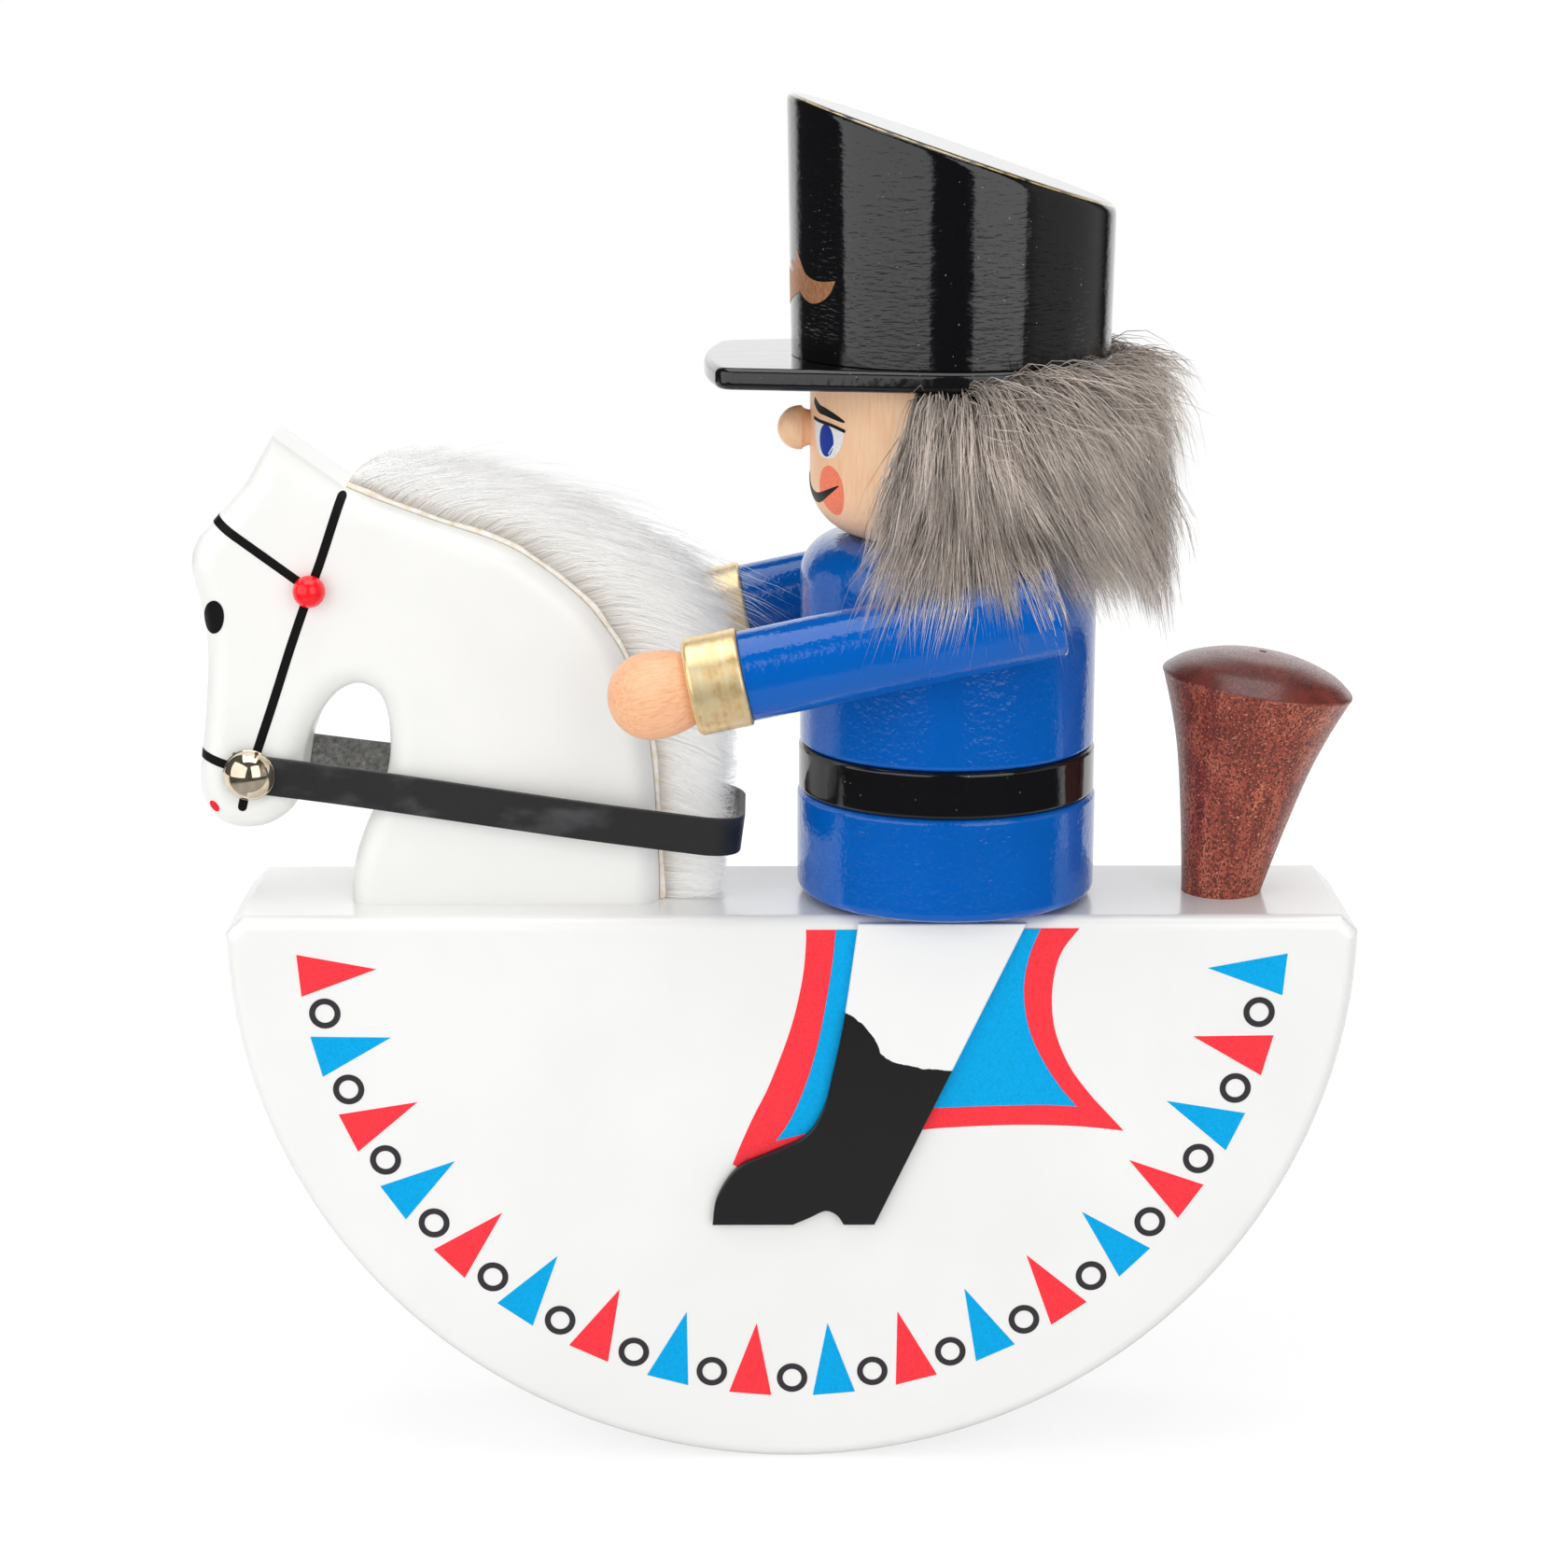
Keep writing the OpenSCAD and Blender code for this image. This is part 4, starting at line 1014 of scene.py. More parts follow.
gold_paint = Finish("gold_paint", metallic=0.68)
gold_rings = gold_paint.noise(0.6, 2, gold_paint.upright(arm_lean), (30, 30, 0.9))
gold_flakes = gold_paint.noise(1.3, 3)
gold_paint.colour(
    gold_rings * 0.4 + gold_flakes * 0.6,
    (0.3, (0.84, 0.55, 0.24)), (0.5, (1.0, 0.76, 0.4)), (0.7, (1.0, 0.89, 0.6)),
)
gold_paint.dress(roughness=0.24 + gold_flakes * 0.18)
gold_paint.emboss(gold_rings * 0.5 + gold_flakes * 0.5, 0.02)
hand_wood = clear_wood("hand_wood", 0.42, 0.35, 7, 4, 6, 0.04, (
    (0.32, (0.78, 0.34, 0.17)), (0.5, (0.9, 0.47, 0.26)), (0.68, (0.95, 0.56, 0.34))
), arm_lean)

to_cuff = np.linspace(0, hand_neck, 12)[1:]
hand_profile = np.concatenate([
    arc((0, 0), hand_r, -90, 0, 30),
    np.stack([hand_r * np.sqrt(1 - (to_cuff / hand_stretch) ** 2), to_cuff], axis=1),
    [(0, hand_neck)],
])
sleeve_profile = drum(sleeve_r, sleeve_from, arm_len, 0.3, 0.7, 4, 6)
cuff_middle = (cuff_r - cuff_waist, hand_neck + 0.5 * cuff_len)
cuff_profile = drum(cuff_r, hand_neck, sleeve_from, 0.8, 0.5, 6, 5, cuff_middle)
for side, name in ((-1, "left"), (1, "right")):
    at = (hand_at[0], side * arm_y, hand_at[1])
    for part, profile, finish, slot in (
        ("sleeve", sleeve_profile, blue_lacquer, "blue_lacquer"),
        ("cuff", cuff_profile, gold_paint, "gold_paint"),
        ("hand", hand_profile, hand_wood, "hand_wood"),
    ):
        shape = leaned(turned(profile, 80), arm_lean, at)
        add_piece(f"{part}_{name}_turned", shape, finish, f"{part}_{name}")


# Head: a short turned block with a rounded chin, of pale wood under clear satin lacquer. The
# nose is a turned peg in its front.
head_r = 21.6
head_h = 24.5
chin_r = 8.5
nose_z = neck_z + 16.4
brim_z = neck_z + head_h

face_wood = clear_wood("face_wood", 0.38, 0.5, 9, 5, 8, 0.03, (
    (0.3, (0.93, 0.51, 0.28)), (0.5, (0.99, 0.61, 0.37)), (0.7, (1.0, 0.68, 0.45))
))
head_profile = np.concatenate([
    [(0, 0)],
    arc((head_r - chin_r, chin_r), chin_r, -90, 0, 24),
    [(head_r, head_h), (0, head_h)],
])
add_piece("head_turned", rider_turned(head_profile, neck_z), face_wood, "head")
nose_profile = np.concatenate([
    [(0, -1.0), (2.7, -1.0), (2.75, 0.2), (2.9, 0.7), (3.15, 1.1)],
    arc((0, 1.6), 3.4, -6, 90, 24),
])
nose = leaned(turned(nose_profile, 64), -90, (rider_x - head_r, 0, nose_z))
add_piece("nose_turned", nose, face_wood, "nose")


# Face: eyes, brows, cheeks and a curled moustache, brushed on. Places are given as the angle
# from the front, towards the near side, and the height above the deck.
def face_skin(flat, lift):
    """Places flat points of (s, z) on the head, raised by lift: at the angle s / R from the front and
    at the profile's radius, which is R, and below the chin's start R - c + sqrt(c^2 - h^2), h below it,
    c being the chin's rounding."""
    low = np.clip(neck_z + chin_r - flat[:, 1], 0, chin_r)
    out = head_r - chin_r + np.sqrt(chin_r ** 2 - low ** 2)
    r = out + lift * np.sqrt(1 - (low / chin_r) ** 2)
    a = flat[:, 0] / head_r
    z = flat[:, 1] - lift * low / chin_r
    return np.stack([rider_x - r * np.cos(a), -r * np.sin(a), z], axis=1)


def round_axis(radius, *points):
    """Points given as (angle, height above the deck), as lengths round the rider's axis and heights."""
    return np.array([(radians(a) * radius, z + deck_z) for a, z in points])


def face_curve(count, *points):
    """A smooth line of count points through places on the face."""
    return evenly(smooth(round_axis(head_r, *points), 10), count)


face_black = paint_finish("face_black", (0.012, 0.012, 0.013), 0.4)
face_white = paint_finish("face_white", (0.88, 0.88, 0.88), 0.4)
face_blue = paint_finish("face_blue", (0.012, 0.045, 0.36), 0.35)
face_red = paint_finish("face_red", (1.0, 0.26, 0.15), 0.4)

brow = face_curve(40, (14, 79.0), (20, 77.9), (26.6, 77.6), (33, 77.2), (40, 76.6))
brow_swell = np.sin(np.linspace(0.35, pi, 40)) ** 0.8
brow_w = 0.62 * brow_swell * np.linspace(1.25, 0.6, 40) + 0.02
lid = face_curve(40, (13.6, 76.2), (20, 76.0), (27, 75.9), (33, 75.7), (40.4, 75.2))
lid_w = round_ends(lid, 0.24) + 0.01
under_lid = round_axis(head_r, (14.4, 75.9), (27, 75.7), (39.8, 75.2))
round_eye = round_axis(
    head_r, (39.8, 75.2), (38.0, 73.0), (34.2, 71.3), (28.5, 70.6), (22, 70.8), (17.8, 71.9),
    (15.4, 74), (14.4, 75.9)
)
eye_white = np.concatenate([smooth(under_lid, 6)[:-1], smooth(round_eye, 6)[:-1]])
iris = oval(round_axis(head_r, (27, 73.3))[0], 4.4, 4.9)
glint = evenly(round_axis(head_r, (29.2, 71.3), (33.2, 72.9)), 12)
cheek = oval(round_axis(head_r, (30.2, 65.8))[0], 7.0, 7.6, tilt=20)
curl = face_curve(
    60, (1.0, 66.9), (3.2, 65.4), (8, 64.4), (15, 64.0), (22, 64.5), (29, 65.5), (36.5, 66.8)
)
curl_swell = np.sin(np.linspace(0.25, pi, 60)) ** 1.2
curl_w = 0.95 * curl_swell * np.linspace(1.2, 0.35, 60) + 0.03

for name, finish, shape in (
    ("eye_whites", face_white, painted(eye_white, face_skin, 0.04)),
    ("irises", face_blue, painted(iris, face_skin, 0.07)),
    ("eye_glints", face_white, stroke(glint, round_ends(glint, 0.1) + 0.01, face_skin, 0.1)),
    ("brows", face_black, stroke(brow, brow_w, face_skin, 0.05)),
    ("eyelids", face_black, stroke(lid, lid_w, face_skin, 0.08)),
    ("cheek_spots", face_red, painted(cheek, face_skin, 0.04)),
    ("moustache", face_black, stroke(curl, curl_w, face_skin, 0.08)),
):
    add_piece(name, both_sides(shape), finish)


# Brim: a plate, round behind and drawn out to a broad peak in front, its edges rounded, in
# black gloss. It lies between the head and the hat.
brim_t = 3.3
brim_r = 25.2
brim_corner = (35.6, 19.5)
brim_corner_r = 3.2
brim_front = 39.4
brim_front_r = 80
brim_edge = 1.1
hat_z = brim_z + brim_t


def rounded(corners, steps=10):
    """An outline of corners (x, y, r): each corner gives way to an arc of radius r that touches both of
    its sides, with its ends r tan(turn / 2) from the corner."""
    corners = np.asarray(corners, float)
    place, radius = corners[:, :2], corners[:, 2:]
    before = unit(np.roll(place, 1, axis=0) - place)
    after = unit(np.roll(place, -1, axis=0) - place)
    half = np.arccos(np.clip((before * after).sum(axis=1, keepdims=True), -1, 1)) / 2
    back = radius / np.tan(half)
    middle = (place + unit(before + after) * radius / np.sin(half))[:, None]
    share = np.linspace(0, 1, steps + 1)[None, :, None]
    first, last = (place + before * back)[:, None], (place + after * back)[:, None]
    chord = first * (1 - share) + last * share - middle
    return (middle + unit(chord + 1e-12) * radius[:, None]).reshape(len(corners), -1, 2)


corner_x, corner_y = brim_corner
corner_gap = sqrt(corner_x ** 2 + corner_y ** 2)
tangent_turn = degrees(atan2(corner_y, corner_x) + np.arccos(brim_r / corner_gap))
brim_back = arc((0, 0), brim_r, tangent_turn, 360 - tangent_turn, 140)
brim_peak = rounded([
    (*brim_back[-1], 0.001), (corner_x, -corner_y, brim_corner_r), (brim_front, 0, brim_front_r),
    (corner_x, corner_y, brim_corner_r), (*brim_back[0], 0.001),
])[1:4].reshape(-1, 2)
points, faces = board(np.concatenate([brim_back, brim_peak]), brim_t, brim_edge, steps=8)
points = np.stack([rider_x - points[:, 0], points[:, 2], brim_z + brim_t / 2 + points[:, 1]], axis=1)
add_piece("brim_plate", (points, faces), black_lacquer, "brim")


# Hat: a tall turned block sawn off at a slant, so that its top falls from front to back. The
# sawn edge is rounded a little, and its lacquer is worn to a thin golden line.
hat_r = 24.5
hat_top_r = 25.2
hat_front_h = 39.7
hat_back_h = 22.6
hat_edge = 1.7
hat_foot_edge = 0.15
hat_worn = 0.34
hat_fall = (hat_front_h - hat_back_h) / (2 * hat_top_r)


def slanted_hat(segments=192, side_rows=14, edge_rows=8, top_rows=10):
    """A cone frustum under a slanted plane. Where its side meets the plane, a corner C gives way to the
    curve (1 - t)^2 A + 2 t (1 - t) C + t^2 B, A and B lying one edge width down the side and in."""
    a = np.linspace(0, 2 * pi, segments, endpoint=False)
    top = np.full(segments, hat_front_h)
    for _ in range(8):
        r = hat_r + (hat_top_r - hat_r) * top / hat_front_h
        top = hat_front_h - (hat_top_r - r * np.cos(a)) * hat_fall
    corner = np.stack([-r * np.cos(a), r * np.sin(a), top], axis=1)
    foot = np.stack([-hat_r * np.cos(a), hat_r * np.sin(a), np.zeros(segments)], axis=1)
    middle = np.array([0, 0, hat_front_h - hat_top_r * hat_fall])
    side_end = corner + unit(foot - corner) * hat_edge
    top_start = corner + unit(middle - corner) * hat_edge
    side_start = foot + (0, 0, hat_foot_edge)
    rows = [foot * 0, foot - unit(foot) * hat_foot_edge]
    rows += [side_start + (side_end - side_start) * t for t in np.linspace(0, 1, side_rows)]
    rows += [
        (1 - t) ** 2 * side_end + 2 * t * (1 - t) * corner + t ** 2 * top_start
        for t in np.linspace(0, 1, edge_rows + 1)[1:]
    ]
    rows += [top_start + (middle - top_start) * t for t in np.linspace(0, 1, top_rows)[1:]]
    return np.concatenate(rows) + (rider_x, 0, hat_z), grid_faces(len(rows), segments, loop=True)


hat_lacquer = Finish("hat_lacquer", roughness=0.1, coat_weight=0.4, coat_roughness=0.05)
hat_x, _, hat_height = hat_lacquer.axes()
top_level = hat_z + hat_front_h - (hat_x - (rider_x - hat_top_r)) * hat_fall
below_top = (top_level - hat_height) / sqrt(1 + hat_fall ** 2)
on_line = hat_lacquer.step(below_top, hat_worn - 0.16, hat_worn - 0.04)
past_line = hat_lacquer.step(below_top, hat_worn + 0.04, hat_worn + 0.16)
worn_line = (on_line - past_line) * hat_lacquer.step(hat_lacquer.noise(2.5, 3), 0.3, 0.6)
hat_dust = hat_lacquer.step(hat_lacquer.noise(0.4, 0), 0.86, 0.88)
dusty = hat_lacquer.mixed(hat_dust, (0.004, 0.004, 0.005), (0.22, 0.22, 0.23))
hat_lacquer.dress(base_color=hat_lacquer.mixed(worn_line, dusty, (0.62, 0.46, 0.22)))
hat_waves = hat_lacquer.noise(1.3, 2, stretch=(1.6, 1.6, 0.4))
hat_lacquer.emboss(hat_waves * 0.5 + hat_lacquer.noise(4, 1) * 0.5, 0.12)
add_piece("hat_turned", slanted_hat(), hat_lacquer, "hat")


# Hat's ornament: a plain pair of copper leaves, brushed on round the front of the hat. Places
# are given as the angle from the front and the height above the deck.
leaf_outline = [
    (0, 98.4), (9, 99.8), (17.5, 101.8), (22, 99.3), (27, 98.1), (34, 97.6), (43, 97.9),
    (40, 95.9), (35, 94.6), (29, 94.2), (23, 94.9), (19, 96.0), (10, 94.4), (0, 93.0),
]


def hat_skin(flat, lift):
    """The hat's side: a point (s, z) lies at the angle s / r from the front, r growing with height."""
    r = hat_r + (hat_top_r - hat_r) * (flat[:, 1] - hat_z) / hat_front_h + lift
    a = flat[:, 0] / hat_r
    return np.stack([rider_x - r * np.cos(a), -r * np.sin(a), flat[:, 1]], axis=1)


copper = Finish("copper_paint", metallic=0.6, roughness=0.4)
copper.colour(copper.noise(0.6, 4), (0.3, (0.42, 0.17, 0.07)), (0.7, (0.62, 0.3, 0.15)))
leaf = rounded_runs(round_axis(hat_r, *leaf_outline), (2, 6), (6, 11))
add_piece("hat_leaves", both_sides(painted(leaf, hat_skin, 0.05, rings=12)), copper)


# Tail: a turned club of dark red-brown wood with open pores, leaning back out of the deck. A
# small hollow from the lathe's centre is left on its dome.
tail_x = 68.3
tail_r = 6.2
tail_rim_r = 15.0
tail_len = 33.9
tail_dome = 5.2
tail_lean = 8.3
tail_swell = tail_rim_r - tail_r
tail_end = tail_len + tail_dome

tail_side = smooth([
    (tail_r, -2), (tail_r, 0), (tail_r + 0.22 * tail_swell, 0.31 * tail_len),
    (tail_r + 0.48 * tail_swell, 0.62 * tail_len), (tail_r + 0.72 * tail_swell, 0.82 * tail_len),
    (tail_rim_r - 0.25, tail_len - 0.4),
], 8)
tail_top = smooth([
    (tail_rim_r - 0.25, tail_len - 0.4), (tail_rim_r, tail_len + 0.2),
    (tail_rim_r - 0.5, tail_len + 0.9), (0.8 * tail_rim_r, tail_len + 0.52 * tail_dome),
    (0.5 * tail_rim_r, tail_len + 0.83 * tail_dome), (0.2 * tail_rim_r, tail_len + 0.97 * tail_dome),
    (0.9, tail_end),
], 8)
centre_mark = [(0.6, tail_end - 0.05), (0.35, tail_end - 0.5), (0, tail_end - 0.8)]
tail_profile = np.concatenate([[(0, -2)], tail_side, tail_top[1:], centre_mark])

dark_wood = Finish("dark_wood", coat_weight=0.3, coat_roughness=0.26)
wood_x, _, wood_z = dark_wood.axes()
lean = radians(tail_lean)
along_tail = (wood_x - tail_x) * sin(lean) + (wood_z - deck_z) * cos(lean)
on_dome = dark_wood.step(along_tail, tail_len + 0.1, tail_len + 0.6)
on_tail = dark_wood.upright(tail_lean)
pores = dark_wood.noise(0.34, 3, on_tail, (1, 1, 1.6), roughness=0.6)
flecks = dark_wood.noise(0.3, 3, on_tail, (1.9, 1.9, 0.8))
bands = dark_wood.noise(2.4, 3, on_tail, (1, 1, 22))
wood_red = dark_wood.ramp(
    bands, (0.36, (0.26, 0.034, 0.018)), (0.5, (0.42, 0.07, 0.036)), (0.64, (0.58, 0.14, 0.07))
)
speckled = dark_wood.mixed(dark_wood.step(flecks, 0.54, 0.7), wood_red, (0.8, 0.3, 0.17))
pore_mask = dark_wood.step(pores, 0.43, 0.5)
side_wood = dark_wood.mixed(pore_mask * 0.85, (0.12, 0.02, 0.012), speckled)
# The dome is coloured far darker than the side. Partly this is its end grain, and partly it is painted
# shade that holds down the light of the lamp above it.
dome_grain_and_shade = dark_wood.ramp(
    bands * 0.5 + pores * 0.5, (0.35, (0.07, 0.014, 0.01)), (0.62, (0.2, 0.034, 0.024))
)
dark_wood.dress(
    base_color=dark_wood.mixed(on_dome, side_wood, dome_grain_and_shade),
    roughness=0.48 - pore_mask * 0.1 - on_dome * 0.12,
)
dark_wood.emboss(pore_mask * (1 - on_dome * 0.8), 0.05)
tail = leaned(turned(tail_profile, 128), tail_lean, (tail_x, 0, deck_z))
add_piece("tail_turned", tail, dark_wood, "tail_knob")


# Dowels: round beech pegs, glued into both pieces that they join. They and the hair's band of
# hide are hidden, so their solids stay and only get their true finish.
beech = Finish("beech", roughness=0.6)
beech.colour(
    beech.noise(0.6, 4, stretch=(1, 1, 8)), (0.35, (0.56, 0.38, 0.21)), (0.65, (0.72, 0.54, 0.34))
)
for node in ("horse_dowels", "coat_dowel", "neck_dowel", "hat_dowel", "arm_dowels"):
    repaint(node, beech)
brown_hide = Finish("brown_hide", roughness=0.9)
brown_hide.colour(brown_hide.noise(1.4, 4), (0.35, (0.1, 0.08, 0.06)), (0.65, (0.22, 0.18, 0.14)))
repaint("hair_hide", brown_hide)


# Hair: shaggy grey fur on a band of hide round the back of the head. It stands off the head,
# falls over the shoulders and sleeves, and some of it stands up behind the brim. Fur is made
# as tapered strands of three sides, and tufts of them draw together towards their tips.
hair_count = 33000
hair_tufts = 2400
hair_root_r = head_r + 1.3
hair_first_angle = 75
hair_low = neck_z + 4.0
hair_high = brim_z - 0.2
strand_rows = 6
most_strands = 6800
hair_gap = 0.3


def strand_curves(root, first, second, tip):
    """Points at even t on (1-t)^3 A + 3 (1-t)^2 t B + 3 (1-t) t^2 C + t^3 D, for each strand."""
    t = np.linspace(0, 1, strand_rows)[None, :, None]
    a, b, c, d = (p[:, None] for p in (root, first, second, tip))
    return (1 - t) ** 3 * a + 3 * (1 - t) ** 2 * t * b + 3 * (1 - t) * t ** 2 * c + t ** 3 * d


def tuft_of(roots, tufts, random):
    """For each strand, the one of some chosen strands whose root is nearest: the leader of its tuft."""
    chosen = random.choice(len(roots), tufts, replace=False)
    leader = np.empty(len(roots), int)
    for part in np.array_split(np.arange(len(roots)), 40):
        gap = ((roots[part, None] - roots[None, chosen]) ** 2).sum(axis=-1)
        leader[part] = chosen[gap.argmin(axis=1)]
    return leader


def fur_mesh(name, curves, thickness, tint):
    """Strands as three-sided tapered tubes with closed ends. The map holds each strand's tint and how
    far along it a point lies."""
    count = len(curves)
    along = unit(np.gradient(curves, axis=1))
    aside = unit(np.cross(along, np.array([0.31, 0.17, 0.93])) + 1e-9)
    above = np.cross(along, aside)
    share = np.linspace(0, 1, strand_rows)
    radius = thickness[:, None] / 2 * (1 - share ** 2)[None] * (0.75 + 0.25 * np.minimum(share * 6, 1))
    turn = np.radians([90, 210, 330])[:, None]
    ring = aside[:, :, None] * np.cos(turn) + above[:, :, None] * np.sin(turn)
    tubes = curves[:, :, None] + ring * radius[:, :, None, None]
    points = np.concatenate([tubes[:, :-1].reshape(count, -1, 3), curves[:, -1:]], axis=1)
    per = points.shape[1]
    quads = np.array(grid_faces(strand_rows - 1, 3, loop=True))
    last, tip = per - 4, per - 1
    ends = np.array([[last, last + 1, tip], [last + 1, last + 2, tip], [last + 2, last, tip], [2, 1, 0]])
    corners = np.concatenate([quads.reshape(-1), ends.reshape(-1)])
    corners = (np.arange(count)[:, None] * per + corners).reshape(-1)
    sizes = np.tile(np.repeat([4, 3], [len(quads), len(ends)]), count)
    mesh = bpy.data.meshes.new(name)
    mesh.vertices.add(count * per)
    mesh.vertices.foreach_set("co", (points * 0.001).reshape(-1).astype(np.float32))
    mesh.loops.add(len(corners))
    mesh.loops.foreach_set("vertex_index", corners.astype(np.int32))
    mesh.polygons.add(len(sizes))
    mesh.polygons.foreach_set("loop_start", (np.cumsum(sizes) - sizes).astype(np.int32))
    mesh.update(calc_edges=True)
    mesh.validate()
    where = np.concatenate([np.repeat(share[:-1], 3), [1.0]])
    shades = np.stack([np.repeat(tint, per), np.tile(where, count)], axis=1)[corners]
    spread = mesh.uv_layers.new(name="OFBake")
    spread.data.foreach_set("uv", (0.02 + 0.96 * shades).reshape(-1).astype(np.float32))
    mesh.shade_smooth()
    return mesh


def add_fur(name, curves, thickness, tint, finish, node):
    """Adds fur in pieces that each stay under the most strands of one mesh."""
    pieces = np.array_split(np.arange(len(curves)), -(-len(curves) // most_strands))
    for number, part in enumerate(pieces, 1):
        mesh = fur_mesh(f"{name}_{number}", curves[part], thickness[part], tint[part])
        show_mesh(mesh.name, mesh, finish, node)


def strand_map(finish):
    """The strand's tint and the share run along it, out of the map that fur_mesh makes."""
    split = finish.node("ShaderNodeSeparateXYZ", {"Vector": finish.node("ShaderNodeTexCoord", out="UV")})
    return [Wire(split.socket.node.outputs[axis]) for axis in "XY"]


def held_off(points, axis_at, axis_way, radius, start, end):
    """Points within radius of an axis, between start and end along it, moved out to the radius."""
    along = ((points - axis_at) * axis_way).sum(axis=-1)
    out = points - axis_at - along[..., None] * axis_way
    gap = np.linalg.norm(out, axis=-1)
    inside = (gap < radius) & (along > start) & (along < end)
    step_out = out / np.maximum(gap, 1e-6)[..., None] * (radius - gap)[..., None]
    return points + np.where(inside[..., None], step_out, 0)


def laid_on_arm(strands, arm_at, arm_way, radius, length, side):
    """Strands that meet an arm: outside its axis they slide over it, sideways, to the radius; those that
    come down on its inner half end where they touch it."""
    rel = strands - arm_at
    along = rel @ arm_way
    rel = rel - along[..., None] * arm_way
    rise = rel[..., 2] / arm_way[0]
    inside = (np.linalg.norm(rel, axis=-1) < radius) & (along > 0) & (along < length)
    outer = inside & (side * rel[..., 1] > -2)
    slid = side * np.sqrt(np.clip(radius ** 2 - rise ** 2, 0.01, None)) + arm_at[1]
    strands = strands.copy()
    strands[..., 1] = np.where(outer, slid, strands[..., 1])
    stopped = inside & ~outer
    first = np.where(stopped.any(axis=1), stopped.argmax(axis=1), strands.shape[1])
    row = np.arange(strands.shape[1])[None]
    keep = np.minimum(row, np.maximum(first - 1, 1)[:, None])
    held = np.take_along_axis(strands, keep[..., None], axis=1)
    return held + (row - keep)[..., None] * np.array([0.12, 0.12 * side, 0.05])


def eased(value, low, high):
    """0 below low, 1 above high, smooth between them."""
    share = np.clip((value - low) / (high - low), 0, 1)
    return share * share * (3 - 2 * share)


random = np.random.default_rng(20)
angle = radians(hair_first_angle) + (pi - radians(hair_first_angle)) * random.random(hair_count)
flank = np.where(random.random(hair_count) < 0.5, -1.0, 1.0)
level = random.random(hair_count)
no_rise = np.zeros(hair_count)
out_way = np.stack([-np.cos(angle), flank * np.sin(angle), no_rise], axis=1)
back_way = np.stack([np.sin(angle), flank * np.cos(angle), no_rise], axis=1)
up_way = np.array([0, 0, 1.0])
hair_root = (rider_x, 0, 0) + out_way * hair_root_r
hair_root = hair_root + up_way * (hair_low + (hair_high - hair_low) * level)[:, None]
leader = tuft_of(hair_root, hair_tufts, random)
turn_of_tuft, fall_of_tuft, lift_of_tuft = random.normal(0, 1, (3, hair_count))[:, leader]
length_of_tuft = random.uniform(0.62, 1.1, hair_count)[leader]

# How far each strand reaches out, sweeps round to the back, drops and first stands up, in
# millimetres, by where it grows: beside the face, behind the head, or at the crown.
low_down = 1 - level
beside = eased(np.degrees(angle), hair_first_angle, hair_first_angle + 42)
behind = eased(np.degrees(angle), 140, 180)
crown = eased(level, 0.5, 1.0)
sweep = (1 - beside) * (-1.6 - 6.4 * low_down) + beside * (11 - 10 * behind) + 2.0 * turn_of_tuft
reach = 7.0 + 2.2 * crown + (0.6 + 3.9 * low_down) * behind + 1.4 * lift_of_tuft
drop = 12.0 + (5.0 - 2.5 * behind) * low_down + 2.4 * fall_of_tuft + 4 * crown * (1 - beside)
stand = 1.0 + 6.0 * crown * beside + 1.2 * lift_of_tuft
rising = random.random(hair_count) < 0.22 * crown * beside
reach = np.where(rising, random.uniform(9, 15, hair_count), reach)
drop = np.where(rising, random.uniform(-3.5, 3, hair_count), drop)
length = length_of_tuft * random.uniform(0.78, 1.1, hair_count)
scatter = random.normal(0, 1, (hair_count, 3))


def from_root(out, back, up):
    """Places given from each root: outwards, round to the back, and up."""
    return hair_root + out[:, None] * out_way + back[:, None] * back_way + up[:, None] * up_way


hair_tip = from_root(reach * length, sweep * length, -drop * length) + scatter * (1.3, 1.3, 1.5)
shared_tip = hair_tip[leader] + 0.35 * (hair_root - hair_root[leader])
pull = np.clip(random.normal(0.45, 0.25, hair_count), 0, 0.95) * np.where(rising, 0.2, 1)
hair_tip += (shared_tip - hair_tip) * pull[:, None]
hair_first = from_root(0.5 * reach * length, 0.02 * sweep, stand) + scatter * 0.5
hair_second = from_root(0.95 * reach * length, 0.4 * sweep, 0.5 * stand - 0.3 * drop) + scatter * 0.9
hair = strand_curves(hair_root, hair_first, hair_second, hair_tip)
share = np.linspace(0, 1, strand_rows)
wave_start = random.uniform(0, 2 * pi, hair_count)[leader][:, None]
wave_start = wave_start + random.normal(0, 0.5, (hair_count, 1))
hair += back_way[:, None] * (0.55 * share ** 0.8 * np.sin(7.5 * share + wave_start))[..., None]
hair += up_way * (0.4 * share * np.sin(6.0 * share + 1.7 * wave_start))[..., None]
arm_way = np.array([arm_slope[0], 0, arm_slope[1]])
for side in (-1, 1):
    arm_at = np.array([hand_at[0], side * arm_y, hand_at[1]])
    hair = laid_on_arm(hair, arm_at, arm_way, sleeve_r + 0.9, arm_len + 1, side)
for foot_z, radius, start, end in (
    (coat_z, coat_r + 0.5, -20, coat_h),
    (brim_z, brim_r + hair_gap, -0.2, brim_t + 0.2),
    (hat_z, hat_top_r + hair_gap, 0, 12),
):
    hair = held_off(hair, (rider_x, 0, foot_z), up_way, radius, start, end)

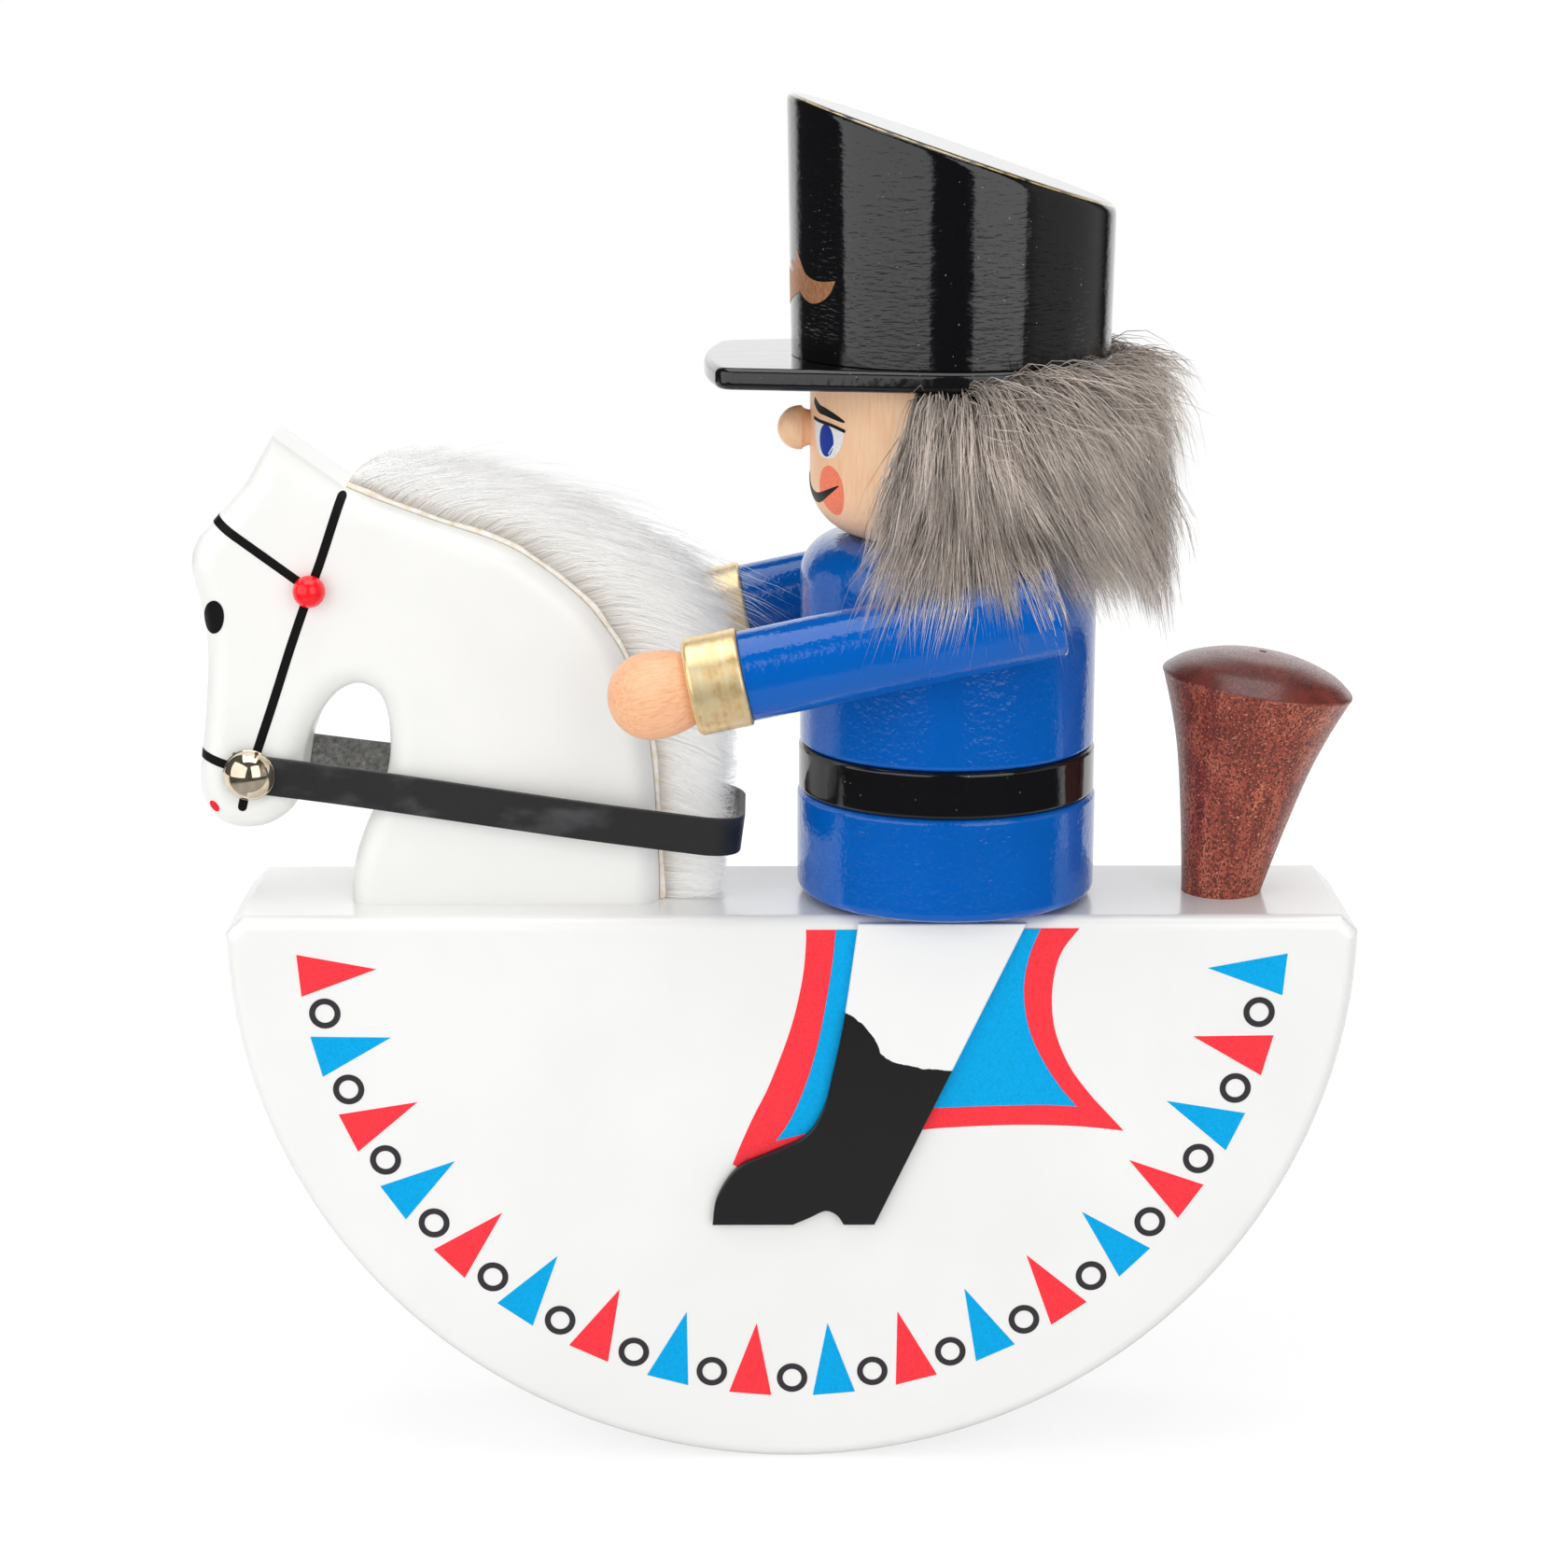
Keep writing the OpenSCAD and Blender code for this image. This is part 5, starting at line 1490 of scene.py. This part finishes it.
grey_fur = Finish("grey_fur", roughness=0.6)
fur_tint, fur_along = strand_map(grey_fur)
# Each strand is coloured darker towards its root. Partly this is the fur's own colour, and partly it is
# painted shade for the depth of the fur.
shade = grey_fur.ramp(
    fur_along, (0.0, (0.15, 0.127, 0.112)), (0.35, (0.46, 0.395, 0.35)),
    (0.75, (0.82, 0.715, 0.64)), (1.0, (1.0, 0.9, 0.8)),
)
grey_fur.dress(base_color=shade * grey_fur.ramp(fur_tint, (0.15, 0.42), (0.5, 0.85), (0.85, 1.3)))
hair_thickness = random.uniform(0.12, 0.22, hair_count)
hair_tint = 0.5 * random.random(hair_count) + 0.5 * random.random(hair_count)[leader]
add_fur("hair", hair, hair_thickness, hair_tint, grey_fur, "hair_fur")


# Mane's fur: long, soft and white. It stands up along the crest and is combed back towards
# the rider, and it stays short inside the rein's bend. Its tips are given as the share run
# along the crest from the foot, and their place.
mane_count = 20000
mane_tufts = 700
mane_half_w = 5.2
mane_tips = [
    (0.0, -10, 1.5), (0.05, -8, 3.5), (0.12, -9.9, 8), (0.2, -9.8, 14), (0.28, -9.0, 21),
    (0.36, -6.5, 30), (0.45, -8.5, 35), (0.55, -8.5, 43), (0.63, -11, 49), (0.7, -17, 54),
    (0.77, -25.5, 59), (0.85, -36, 64.5), (0.92, -47.5, 68.2), (1.0, -60.0, 69.3),
]

crest_run = run_of(hide_back)
crest_run /= crest_run[-1]
at = random.random(mane_count)


def on_crest(shares, values):
    """The values of (x, z) that belong to each strand's share of the crest."""
    return np.stack([np.interp(at, shares, column) for column in values.T], axis=1)


mane_flat = on_crest(crest_run, hide_back)
mane_out = unit(on_crest(crest_run, unit(np.gradient(hide_back, axis=0))[:, ::-1] * (1, -1)))
tips = np.array(mane_tips)
mane_goal = on_crest(tips[:, 0], tips[:, 1:]) + (0, deck_z)
mane_y = mane_half_w * (2 * random.random(mane_count) - 1)
scatter = random.normal(0, 1, (mane_count, 3))
length_share = np.clip(random.normal(0.86, 0.16, mane_count), 0.35, 1.1)
flyaway = (random.random(mane_count) < 0.03) & (mane_goal[:, 1] > deck_z + 25)
length_share = np.where(flyaway, random.uniform(1.1, 1.6, mane_count), length_share)
way_flat = (mane_goal - mane_flat) * length_share[:, None]
spring = np.linalg.norm(way_flat, axis=1)[:, None]


def inside_rein(strands):
    """Strands pressed in where they would stand in the rein's way: there, their distance from the
    nails' axis is at most that of the bend's inside, len - r + sqrt((r - t / 2)^2 - s^2), s being how
    far to the side of the bend's straight part a point lies."""
    from_nail = strands[..., [0, 2]] - nail_at
    distance = np.linalg.norm(from_nail, axis=-1)
    below = np.degrees(np.arctan2(-from_nail[..., 1], from_nail[..., 0])) - rein_slope
    half_width = degrees(rein_w / 2 / rein_len) + 0.6
    in_way = (below > rein_swing[0] - half_width) & (below < rein_swing[1] + half_width)
    side_step = np.clip(np.abs(strands[..., 1]) - (rein_half - rein_bend_r), 0, rein_bend_r - 1)
    bend = np.sqrt((rein_bend_r - rein_t / 2) ** 2 - side_step ** 2)
    limit = rein_len - rein_bend_r + bend - 0.3 - random.exponential(1.1, (len(strands), 1))
    share = np.where(in_way, np.minimum(limit / distance, 1), 1)
    pressed = strands.copy()
    pressed[..., [0, 2]] = nail_at + from_nail * share[..., None]
    return pressed


mane_root = with_y(mane_flat, mane_y)
mane_first = with_y(mane_flat + mane_out * 0.22 * spring + way_flat * 0.1, mane_y * 1.15)
mane_second = with_y(mane_flat + mane_out * 0.16 * spring + way_flat * 0.6, mane_y * 1.35)
mane_second += scatter * 0.35
mane_tip = with_y(mane_flat + way_flat, mane_y * 1.45) + scatter * (0.9, 1.0, 0.9)
leader = tuft_of(mane_root, mane_tufts, random)
shared_tip = mane_tip[leader] + 0.5 * (mane_root - mane_root[leader])
pull = np.clip(random.normal(0.4, 0.2, mane_count), 0, 0.8)
mane_tip += (shared_tip - mane_tip) * pull[:, None]
long_ones = (random.random(mane_count) < 0.09) & (at > 0.1) & (at < 0.45)
reached = mane_tip + random.uniform(2, 9, (mane_count, 1)) * (1, 0, 0.75)
mane_tip = np.where(long_ones[:, None], reached, mane_tip)
mane = inside_rein(strand_curves(mane_root, mane_first, mane_second, mane_tip))
mane[..., 2] = np.maximum(mane[..., 2], deck_z + 0.4)

# White hairs pass light on to one another, which plain strands do not. A faint glow stands in for that
# light, and it is painted light.
white_fur = Finish(
    "white_fur", roughness=0.7, emission_color=(1.0, 0.99, 0.97), emission_strength=0.15
)
fur_tint, fur_along = strand_map(white_fur)
shade = white_fur.ramp(
    fur_along, (0.0, (0.8, 0.76, 0.7)), (0.35, (0.93, 0.93, 0.92)), (1.0, (0.96, 0.96, 0.96))
)
white_fur.dress(base_color=shade * white_fur.ramp(fur_tint, (0.0, 0.9), (0.6, 1.0), (1.0, 1.0)))
mane_thickness = random.uniform(0.09, 0.16, mane_count)
add_fur("mane", mane, mane_thickness, random.random(mane_count), white_fur, "mane_fur")
